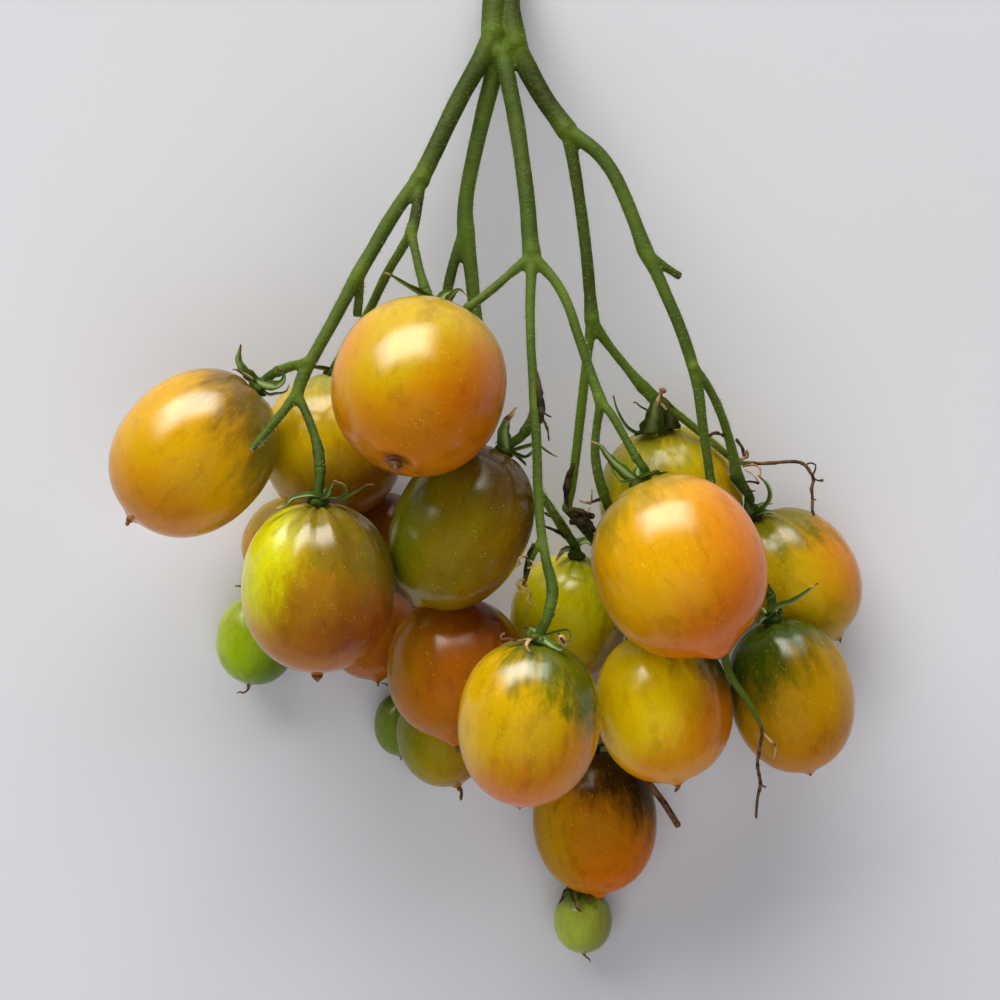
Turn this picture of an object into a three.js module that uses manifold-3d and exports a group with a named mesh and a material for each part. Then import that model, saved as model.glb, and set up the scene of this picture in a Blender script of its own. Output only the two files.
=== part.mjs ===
// A picked truss of small plum tomatoes, laid down on a flat surface.
// Millimetres, +Z up, the cut stalk end points to +Y, origin under the middle of the bounding box.
// One stalk carries 21 fruits. Each fruit hangs on its own calyx: a hub, five sepals or so, and the last piece of pedicel below its knuckle.
import * as THREE from "three";
import { mergeVertices } from "three/addons/utils/BufferGeometryUtils.js";
import Module from "manifold-3d";

// ---- driving dimensions, mm ----
const GAP = 0.3; // clearance kept between neighbouring pieces
const FRUIT_POWER = 2.15; // how square the fruit's side profile is, 2 is an ellipse
const FRUIT_RINGS = 8;
const FRUIT_SIDES = 14;
const STALK_SIDES = 6;
const INNER_SIDES = 5; // branches deep inside the bunch
const STEM_SIDES = 8; // the thick stem near the cut
const PEDICEL_SIDES = 5;
const SEPAL_THICKNESS = 0.9;
const SEPAL_STEPS = 4;
const STALK_STEP = 8; // length of one tube segment along a branch
const PEDICEL_STEP = 3.2;
const TRIM = 0.1; // slivers left by the cuts that move no surface more than this are merged away
const HUB_HEIGHT = 1.7;
const HUB_BASE = 1.15; // hub radius is this plus a share of the fruit's radius
const HUB_SHARE = 0.075;

// Each fruit: centre, half length along its stem axis, greatest radius across the picture plane, the share of it in depth,
// how much wider the stem half is, the length of the blossom point, and the direction the blossom end looks.
const FRUITS = [
  { id: '01', centre: [-17.56,14.79,67.83], half_length: 22.21, radius: 21.24, depth: 0.97, egg: 0.00, tip: 1.5, blossom: [-0.235,-0.827,0.511] },
  { id: '02', centre: [-74.12,-1.04,44.07], half_length: 22.39, radius: 19.15, depth: 0.95, egg: 0.00, tip: 1.2, blossom: [-0.691,-0.721,0.050] },
  { id: '03', centre: [-40.56,1.03,24.45], half_length: 18.60, radius: 18.09, depth: 0.93, egg: 0.00, tip: 1.5, blossom: [0.000,-0.988,0.154] },
  { id: '04', centre: [-42.46,-33.92,60.83], half_length: 20.95, radius: 19.00, depth: 0.93, egg: 0.00, tip: 1.5, blossom: [-0.010,-0.990,-0.141] },
  { id: '05', centre: [-7.64,-19.4,49.51], half_length: 21.49, radius: 16.92, depth: 0.93, egg: 0.03, tip: 1.8, blossom: [-0.482,-0.863,0.151] },
  { id: '06', centre: [45.6,-28.8,60.76], half_length: 22.65, radius: 21.07, depth: 0.95, egg: 0.00, tip: 3.0, blossom: [0.417,-0.886,0.204] },
  { id: '07', centre: [45.94,-12.47,17.25], half_length: 19.02, radius: 18.63, depth: 0.93, egg: 0.00, tip: 1.5, blossom: [0.081,-0.980,-0.182] },
  { id: '08', centre: [-8.9,-54.78,38.89], half_length: 18.27, radius: 17.52, depth: 0.82, egg: -0.02, tip: 3.0, blossom: [0.041,-0.951,0.307] },
  { id: '09', centre: [9.01,-66.72,65.53], half_length: 20.58, radius: 17.43, depth: 0.95, egg: 0.03, tip: 1.0, blossom: [-0.110,-0.982,-0.150] },
  { id: '10', centre: [42.79,-64.25,41.57], half_length: 19.21, radius: 17.34, depth: 0.92, egg: 0.00, tip: 1.5, blossom: [0.172,-0.973,0.152] },
  { id: '11', centre: [75.38,-62.16,32.9], half_length: 19.67, radius: 15.89, depth: 0.90, egg: 0.04, tip: 1.2, blossom: [0.243,-0.970,0.000] },
  { id: '12', centre: [78.6,-32.59,14.3], half_length: 18.57, radius: 15.73, depth: 0.92, egg: 0.03, tip: 1.5, blossom: [0.563,-0.825,0.050] },
  { id: '13', centre: [19.79,-42.64,14.53], half_length: 15.99, radius: 15.34, depth: 0.95, egg: 0.00, tip: 1.2, blossom: [-0.104,-0.968,-0.229] },
  { id: '14', centre: [26.47,-95.69,15.24], half_length: 18.55, radius: 16.23, depth: 0.95, egg: 0.03, tip: 1.5, blossom: [0.061,-0.997,0.051] },
  { id: '15', centre: [23.58,-122.21,7.41], half_length: 8.32, radius: 7.67, depth: 1.00, egg: 0.04, tip: 0.8, blossom: [0.020,-0.999,-0.050] },
  { id: '16', centre: [-61.02,-49.03,9.85], half_length: 11.67, radius: 10.63, depth: 0.95, egg: 0.02, tip: 0.8, blossom: [-0.186,-0.981,-0.052] },
  { id: '17', centre: [-30.89,-46.9,11.1], half_length: 12.43, radius: 11.91, depth: 0.95, egg: 0.00, tip: 1.2, blossom: [0.104,-0.989,0.104] },
  { id: '18', centre: [-23.79,-71.07,6.08], half_length: 8.34, radius: 7.03, depth: 0.90, egg: 0.00, tip: 0.6, blossom: [0.000,-1.000,0.000] },
  { id: '19', centre: [-12.87,-73.45,19.83], half_length: 12.81, radius: 11.53, depth: 0.86, egg: 0.00, tip: 1.5, blossom: [0.307,-0.952,0.000] },
  { id: '20', centre: [-52.9,-24.12,11.1], half_length: 12.17, radius: 11.91, depth: 0.95, egg: 0.00, tip: 1.0, blossom: [-0.527,-0.843,0.105] },
  { id: '21', centre: [-27.83,-21.28,9.72], half_length: 10.63, radius: 10.37, depth: 0.95, egg: 0.00, tip: 1.0, blossom: [0.212,-0.954,0.212] },
];

// Stalk branches as centre lines, each point with its radius: [x, y, z, radius].
const BRANCHES = {
  stalk_l: [[2.78,129.82,2.6,3.14],[1.21,122.68,6.3,3.12],[0.44,114.21,10.69,3.11],[0.19,107.2,14.38,3.09],[0.97,101.55,18,2.7]],
  stalk_r: [[5.66,129.88,2.2,2.62],[4.86,122.71,6.1,2.6],[4.84,114.23,10.51,2.59],[5.6,107.99,14.3,2.84],[6.87,102.32,18,2.82]],
  left_main: [[0.19,106.97,16,2.83],[-3.13,99.53,19.6,2.56],[-7.45,91.39,23.2,2.42],[-11.47,82.81,26.8,2.29],[-14.96,74.8,30.4,2.28],[-18.16,67.87,34,2.39]],
  left_outer: [[-18.16,67.87,34,2.39],[-22.12,62.88,36.13,1.95],[-26.32,56.17,38.27,1.88],[-29.99,49.49,40.41,1.87],[-33.15,43.85,42.54,1.99],[-36.29,37.74,44.61,1.68],[-39.91,30.67,46.6,1.61],[-43.28,24.38,48.49,1.61],[-46.39,18.37,50.27,1.73],[-48.01,13.38,52,1.54]],
  left_stub_long: [[-48.01,13.38,52,1.48],[-51.3,8.89,54.28,1.17],[-55.06,4.17,56.59,1.1],[-59.04,-0.76,58.95,1.04]],
  to_04: [[-48.01,13.38,52,1.35],[-45.64,8.63,54.5,1.17],[-43.53,3.43,57,1.16],[-42.29,-1.01,59.5,1.52],[-41.78,-5.43,62,1.46]],
  to_02: [[-46.16,20.85,50,1.48],[-49.49,20.44,48,1.24],[-52.85,19.29,46,1.46]],
  left_stub_short: [[-33.13,43.81,43,1.49],[-33.17,38.15,42,1.18],[-33.71,32.97,41,1.19]],
  left_inner: [[-18.16,67.87,34,1.76],[-18.58,62.55,37,1.44],[-19.26,57.77,40,1.5],[-20.17,53.78,43,1.62]],
  to_01: [[-20.17,53.78,43,1.37],[-19.1,49.31,46,1.18],[-17.78,43.64,49,1.17],[-16.23,38.5,52,1.46]],
  to_03: [[-20.17,53.78,43,1.37],[-22.76,49.78,39.86,1.25],[-25.87,45.01,36.69,1.26],[-28.5,40.2,33.47,1.26],[-30.65,36.11,30.19,1.27],[-34.59,29.45,26.86,1.21],[-38.06,24.52,23.5,1.46]],
  rear_main: [[1.22,101.05,16,2.57],[-0.32,93.94,17.25,2.31],[-1.86,87.88,18.48,2.31],[-3.65,80.05,19.66,2.18],[-5.17,73.01,20.8,2.11],[-6.44,66,21.89,2.04],[-6.94,60.53,22.95,2.17],[-6.68,56.11,23.98,2.42],[-5.9,50.42,24.99,1.91],[-5.13,43.22,26,1.84],[-4.36,35.54,27,1.78],[-3.33,28.37,28,1.65]],
  rear_side: [[-7.18,54.58,24,1.78],[-8.96,50.45,24.66,1.46],[-10.48,44.8,25.33,1.46],[-11.74,38.9,26,1.4]],
  middle_main: [[2.76,101.41,19,2.31],[4.04,94.53,22.6,2.23],[6.06,83.89,26.18,2.16],[7.56,73.35,29.73,2.09],[8.8,62.9,33.21,2.08],[9.52,53.05,36.63,2.13],[9.99,48.27,40,2.5]],
  middle_left: [[9.99,48.27,40,1.62],[4.49,43.63,42,1.18],[0.75,40.26,44,1.18],[-2.97,37.15,46,1.18],[-5.93,34.8,48,1.18]],
  to_09: [[9.99,48.27,40,1.62],[9.72,42.11,42.47,1.37],[9.45,34.48,44.99,1.3],[9.67,25.66,47.61,1.24],[10.14,16.89,50.34,1.3],[10.6,8.18,53.15,1.35],[11.06,-0.47,56.01,1.23],[11.27,-10.28,58.89,1.28],[11.97,-20.02,61.74,1.28],[13.14,-27.27,64.54,1.27],[14.68,-34.47,67.29,1.63],[13.79,-39.69,70,1.46]],
  middle_right: [[9.99,48.27,40,1.75],[15.7,41.86,42.42,1.31],[18.89,35.74,44.77,1.3],[21.32,28.17,47.01,1.3],[23.75,20.64,49.11,1.3],[25.66,14.89,51.09,1.36],[26.84,11.38,53,1.66]],
  middle_right_low: [[26.84,11.38,53,1.35],[25.91,5.77,51.09,1.17],[25.48,-0.37,49.13,1.17],[26.28,-6.28,47.09,1.36],[27.83,-11.24,45,1.49]],
  to_06: [[26.84,11.38,53,1.35],[29.23,8.38,55,1.17],[32.34,2.94,57,1.1],[34.95,-1.98,59,1.46]],
  right_main: [[6.1,103.86,18,2.82],[9.68,96.4,20,2.69],[13.49,89.5,22,2.56],[16.78,84.66,24,2.55],[19.29,80.86,26,2.8]],
  right_inner: [[19.29,80.86,26,2.03],[20.79,72.37,27,1.65],[21.78,65.92,28,1.59],[23.02,56.96,29,1.58],[24.01,48.01,30,1.58],[24.74,39.09,31,1.64],[25.22,32.21,32,2.15]],
  right_inner_low: [[25.22,32.21,32,1.64],[24.22,25.16,31.73,1.26],[23.21,16.33,31.5,1.26],[22.21,7.49,31.3,1.26],[21.2,-1.35,31.17,1.26],[19.94,-10.2,31.07,1.26],[18.93,-14.75,31,1.2]],
  right_cross: [[25.22,32.21,32,1.64],[29.79,25.94,31.12,1.2],[34.12,20.67,30.3,1.2],[38.2,15.89,29.59,1.77],[42.53,12.36,29.05,1.27],[47.87,8.31,28.7,1.14],[53.21,4.01,28.52,1.08],[57.52,0.46,28.51,1.01],[61.18,-2.57,27,0.95]],
  right_outer: [[19.29,80.86,26,2.29],[23.05,78.36,27.97,1.97],[26.8,75.1,29.92,1.9],[30.53,69.85,31.84,1.83],[33.74,62.86,33.68,1.83],[36.44,55.66,35.43,1.82],[38.37,50,37.07,2.13],[41.06,44.38,38.55,1.63],[43.75,38.03,39.88,1.56],[46.69,30.97,41.03,1.56],[49.38,22.94,41.98,1.56],[51.33,15.18,42.72,1.43],[52.29,7.19,43.28,1.31],[53.51,-1.53,43.68,1.24],[54.73,-10.24,44,1.24]],
  right_stub: [[39.59,48.42,38,1.38],[44.15,45.24,37,1.07],[47.47,43.3,36,1.07]],
  to_12: [[50.31,20.15,43,1.37],[54.01,15.53,39.76,1.19],[56.97,10.12,36.69,1.19],[59.17,4.4,33.92,1.26],[60.86,-1.36,31.47,1.39],[61.78,-6.14,29.24,1.78]],
  to_05: [[10.49,10.67,52,1.11],[9.88,7.5,51,1.11],[8.41,4.56,50,1.46]],
  to_13: [[11.27,-10.28,59,1.1],[13.13,-12.73,48.03,1.11],[15.79,-16.49,37.03,1.19],[18.78,-21.12,26,1.46]],
  dry_bud: [[11.22,-23.66,63,0.97],[9.3,-27.83,60.5,0.85],[8.1,-32.77,58,0.61]],
  to_07: [[38.23,15.91,29,1.65],[39.98,13.74,29.5,1.39],[41.73,11.57,30,1.46]],
  dry_tip_front: [[54.73,-10.24,44,1.24],[57.25,-17.76,42.6,1.18],[58.95,-25.81,42.3,1.18],[59.18,-35.07,43.1,1.12],[58.39,-43.56,45,1.12],[57.64,-49.74,46.98,1.12],[58.22,-54.18,48.7,1.05],[59.84,-57.64,49.36,0.99],[61.8,-60.45,49.57,0.89],[63.97,-63.65,49.46,0.74],[65.73,-67.08,48.96,0.68],[66.93,-70.2,47.95,0.62],[66.48,-73.83,46.33,0.6],[66.16,-78.54,42.87,0.6],[67.25,-83.83,37.96,0.58],[66.89,-88.46,32.58,0.57],[66.94,-93.4,28,0.53]],
  dry_tip_right: [[61.18,-2.57,27,0.89],[63.56,-3.28,27.5,0.7],[67.24,-3.44,27.98,0.58],[71.42,-3.32,28.29,0.58],[74.93,-3,28.48,0.58],[77.51,-3.06,28.46,0.58],[79.54,-3.93,28.04,0.58],[80.64,-5.63,27.96,0.58],[81.64,-7.46,27.5,0.58],[81.09,-9.95,27.02,0.56],[81.45,-12.66,26.79,0.56],[81.27,-14.76,26.48,0.56],[81.85,-16.8,26,0.56]],
  inner_to_20: [[-11.74,38.9,26,1.3],[-13.96,35.55,24.06,1.25],[-16.17,32.2,22.12,1.25],[-18.38,28.85,20.19,1.25],[-20.58,25.49,18.27,1.25],[-22.77,22.13,16.36,1.25],[-24.95,18.75,14.46,1.25],[-27.11,15.38,12.58,1.25],[-29.25,12,10.7,1.25],[-31.36,8.61,8.8,1.25],[-33.53,5.18,7.04,1.25],[-36,1.62,6.16,1.25],[-38.63,-1.92,6.1,1.25],[-41.33,-5.35,6.78,1.25],[-44.01,-8.73,7.6,1.46]],
  inner_to_16: [[-41.33,-5.33,6.82,1.3],[-41.42,-9.19,8.28,1.25],[-41.47,-12.68,10.49,1.25],[-41.49,-15.62,13.39,1.25],[-41.47,-18.14,16.65,1.25],[-42.33,-21.14,19.43,1.25],[-44.17,-24.37,21.35,1.25],[-46.7,-27.52,22.4,1.25],[-49.7,-30.45,22.61,1.25],[-53.05,-32.87,21.77,1.25],[-56.44,-34.5,19.83,1.25],[-59.5,-35.08,16.95,1.25],[-62.01,-34.73,13.6,1.46]],
  inner_to_21: [[-5.93,34.8,48,1.3],[-7.55,32.01,44.83,1.25],[-9.18,29.21,41.67,1.25],[-10.82,26.42,38.51,1.25],[-12.48,23.62,35.36,1.25],[-14.15,20.82,32.21,1.25],[-15.85,18.01,29.06,1.25],[-17.57,15.2,25.92,1.25],[-19.3,12.39,22.79,1.25],[-21.05,9.57,19.65,1.25],[-22.81,6.76,16.51,1.25],[-24.56,3.94,13.35,1.25],[-26.99,1.04,10.7,1.25],[-29.51,-1.84,8.16,1.25],[-32.01,-4.73,5.6,1.46]],
  inner_to_17: [[-29.51,-1.84,8.17,1.3],[-31.97,-5.54,7.82,1.25],[-34.43,-9.22,7.48,1.25],[-36.91,-12.89,7.12,1.25],[-39.16,-16.77,6.8,1.25],[-39.77,-21.16,6.75,1.25],[-39.05,-25.63,7.57,1.25],[-37.01,-29.59,8.52,1.46]],
  inner_to_08: [[-3.33,28.37,28,1.3],[-3.78,23.67,28.23,1.25],[-4.24,18.97,28.47,1.25],[-4.7,14.27,28.7,1.25],[-5.17,9.57,28.95,1.25],[-5.65,4.87,29.21,1.25],[-6.15,0.17,29.47,1.25],[-6.66,-4.53,29.75,1.25],[-7.19,-9.23,30.04,1.25],[-7.71,-13.63,30.27,1.25],[-8.25,-18.03,30.52,1.25],[-8.8,-22.43,30.77,1.25],[-9.35,-26.83,31.03,1.25],[-9.91,-31.22,31.29,1.46]],
  inner_to_19: [[-9.43,-28.03,31.28,1.3],[-10.65,-31.84,29.61,1.25],[-11.88,-35.66,27.94,1.25],[-13.1,-39.47,26.27,1.25],[-14.33,-43.28,24.6,1.25],[-15.56,-47.1,22.94,1.25],[-16.78,-50.91,21.27,1.25],[-18.01,-54.73,19.6,1.46]],
  inner_to_18: [[-16.78,-50.91,21.27,1.3],[-17.93,-52.74,18.13,1.25],[-19.08,-54.58,14.98,1.25],[-20.21,-56.43,11.84,1.25],[-21.92,-57.8,8.66,1.46]],
  inner_to_14: [[18.93,-14.75,31,1.3],[21.38,-17.73,31.1,1.25],[23.87,-20.67,31.35,1.25],[26.3,-23.64,31.77,1.25],[28.51,-26.76,32.26,1.25],[30.38,-30.11,32.69,1.25],[31.91,-33.65,32.94,1.25],[33.16,-37.29,32.88,1.25],[34.14,-40.92,32.41,1.25],[34.76,-44.47,31.41,1.25],[34.93,-47.91,29.95,1.25],[34.6,-51.26,28.2,1.25],[33.79,-54.53,26.34,1.25],[32.57,-57.65,24.41,1.25],[31,-60.53,22.37,1.25],[29.11,-63.1,20.2,1.25],[26.99,-65.33,17.88,1.25],[24.72,-67.33,15.47,1.25],[23.99,-70.73,13.6,1.46]],
  inner_to_15: [[24.72,-67.33,15.47,1.3],[23.07,-70.55,13.04,1.25],[21.47,-73.74,10.66,1.25],[19.87,-76.93,8.28,1.25],[18.26,-80.1,5.88,1.25],[16.81,-83.52,3.68,1.25],[15.91,-87.49,2.22,1.25],[15.44,-91.73,1.55,1.25],[15.45,-96.13,1.55,1.25],[16.55,-100.46,1.55,1.25],[18.79,-104.28,1.55,1.25],[21.34,-107.67,2.25,1.25],[23.99,-110.73,3.6,1.46]],
  inner_to_10: [[27.83,-11.24,45,1.3],[29.14,-14.91,43.69,1.25],[30.45,-18.59,42.39,1.25],[31.75,-22.27,41.08,1.25],[32.76,-25.66,39.82,1.25],[34.11,-29.06,39.18,1.25],[35.53,-32.45,38.67,1.25],[36.94,-35.84,38.16,1.25],[38.36,-39.23,37.66,1.46]],
  inner_to_11: [[54.73,-10.24,44,1.3],[56.63,-13.55,42.7,1.25],[58.53,-16.87,41.4,1.25],[60.44,-20.18,40.1,1.25],[62.35,-23.5,38.8,1.25],[64.25,-26.81,37.5,1.25],[66.17,-30.11,36.2,1.25],[68.08,-33.42,34.9,1.25],[69.99,-36.73,33.6,1.46]],
  inner_stub: [[24.72,-67.33,15.47,1.1],[27.1,-70.03,16.92,1.1],[29.48,-72.74,18.34,1.09],[31.87,-75.45,19.7,1.06],[34.27,-78.18,20.98,1.04],[36.7,-80.89,22.18,1.01],[38.97,-83.81,23.18,1],[41.27,-86.71,24.13,0.99],[43.57,-89.61,25.06,0.95],[45.63,-92.9,24.04,0.93],[47.68,-96.19,23,0.9]],
};

// The last piece of each pedicel, from the knuckle to the calyx: [x, y, z, radius].
const PEDICELS = {
  '01': [[-16.14,38.21,52.17,1.34],[-15.46,37.12,52.94,1.21],[-14.37,36.2,53.81,1.2],[-13.23,35.33,54.71,1.2],[-12.42,34.41,55.6,1.3],[-12.3,33.33,56.39,1.5]],
  '02': [[-53.14,19.19,45.83,1.34],[-54.28,18.68,45.08,1.21],[-55.39,18,44.28,1.2],[-56.48,17.17,43.57,1.2],[-57.52,16.24,43.08,1.3],[-58.51,15.25,42.94,1.5]],
  '03': [[-38.23,24.27,23.33,1.34],[-38.82,23.46,22.78,1.21],[-39.44,22.58,22.24,1.2],[-40,21.65,21.8,1.2],[-40.4,20.65,21.54,1.3],[-40.56,19.61,21.55,1.5]],
  '04': [[-41.75,-5.73,62.17,1.34],[-41.71,-7.05,62.82,1.21],[-41.82,-8.5,63.35,1.2],[-41.99,-10,63.71,1.2],[-42.16,-11.52,63.87,1.3],[-42.25,-12.98,63.8,1.5]],
  '05': [[8.26,4.26,49.9,1.34],[7.39,3.11,49.19,1.21],[6.22,2.21,48.17,1.2],[4.95,1.4,47.14,1.2],[3.75,0.49,46.4,1.3],[2.81,-0.67,46.24,1.5]],
  '06': [[35.11,-2.28,59.12,1.34],[35.49,-3.45,59.05,1.21],[35.6,-4.72,58.25,1.2],[35.6,-6.03,57.19,1.2],[35.7,-7.33,56.32,1.3],[36.06,-8.56,56.11,1.5]],
  '07': [[41.94,11.3,30.06,1.34],[42.96,10.12,29.38,1.21],[43.61,9.4,27.21,1.2],[44,8.78,24.45,1.2],[44.23,7.89,22,1.3],[44.39,6.37,20.74,1.5]],
  '08': [[-9.95,-31.57,31.31,1.34],[-10.02,-32.72,31.5,1.21],[-9.98,-33.86,31.86,1.2],[-9.86,-34.98,32.33,1.2],[-9.74,-36.1,32.81,1.3],[-9.65,-37.22,33.23,1.5]],
  '09': [[13.74,-40,70.16,1.34],[13.38,-41.19,70.42,1.21],[12.81,-42.43,70.16,1.2],[12.17,-43.7,69.62,1.2],[11.62,-45,69.04,1.3],[11.31,-46.3,68.65,1.5]],
  '10': [[38.49,-39.55,37.61,1.34],[38.84,-40.65,37.58,1.21],[39.05,-41.82,37.76,1.2],[39.18,-43.01,38.05,1.2],[39.29,-44.2,38.37,1.3],[39.44,-45.36,38.61,1.5]],
  '11': [[70.16,-37.01,33.49,1.34],[70.51,-38.05,33.19,1.21],[70.56,-39.22,33.01,1.2],[70.48,-40.46,32.93,1.2],[70.43,-41.7,32.9,1.3],[70.56,-42.88,32.9,1.5]],
  '12': [[61.84,-6.45,29.09,1.64],[63.47,-9.05,27.02,1.47],[65.25,-11.02,22.95,1.2],[66.23,-12.73,18.12,1.2],[66.16,-14.58,14.63,1.3],[68.03,-17.11,13.36,1.5]],
  '13': [[18.86,-21.25,25.69,1.34],[19.45,-22,23.92,1.21],[20.19,-22.91,22.08,1.2],[20.9,-24.01,20.37,1.2],[21.39,-25.35,19.01,1.3],[21.47,-26.97,18.23,1.5]],
  '14': [[23.93,-71.03,13.43,1.34],[23.92,-72.12,13.15,1.21],[24.23,-73.3,13.3,1.2],[24.67,-74.53,13.67,1.2],[25.1,-75.78,14.07,1.3],[25.32,-77,14.29,1.5]],
  '15': [[24.21,-110.98,3.71,1.14],[24.51,-111.55,4.34,1.03],[24.35,-111.97,5.4,1.02],[23.9,-112.46,6.31,1.02],[23.57,-112.92,7.49,1.1],[23.41,-113.7,7.84,1.27]],
  '16': [[-62.22,-34.7,13.32,1.34],[-62.2,-34.78,12.54,1.21],[-61.34,-35.14,11.79,1.2],[-60.32,-35.79,11.17,1.2],[-59.14,-36.49,10.67,1.3],[-58.81,-37.38,10.46,1.5]],
  '17': [[-36.86,-29.89,8.6,1.34],[-36.03,-30.87,8.87,1.21],[-34.87,-31.67,9.15,1.2],[-33.66,-32.44,9.4,1.2],[-32.68,-33.31,9.62,1.3],[-32.2,-34.41,9.79,1.5]],
  '18': [[-22.07,-57.92,8.37,1.14],[-22.55,-58.47,7.57,1.03],[-23.02,-59.31,6.94,1.02],[-23.41,-60.33,6.47,1.02],[-23.69,-61.44,6.18,1.1],[-23.79,-62.54,6.08,1.27]],
  '19': [[-18.11,-55.03,19.47,1.34],[-18.25,-56.15,19.21,1.21],[-18.09,-57.37,19.26,1.2],[-17.73,-58.63,19.48,1.2],[-17.28,-59.88,19.72,1.3],[-16.86,-61.07,19.83,1.5]],
  '20': [[-44.22,-9,7.67,1.34],[-44.78,-9.88,8,1.21],[-45.19,-10.81,8.51,1.2],[-45.52,-11.77,9.06,1.2],[-45.89,-12.74,9.53,1.3],[-46.38,-13.69,9.8,1.5]],
  '21': [[-32.2,-4.95,5.41,1.34],[-32.46,-5.88,5.13,1.21],[-32.09,-7.05,5.48,1.2],[-31.37,-8.35,6.18,1.2],[-30.62,-9.69,6.93,1.3],[-30.13,-10.95,7.42,1.5]],
};

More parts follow.
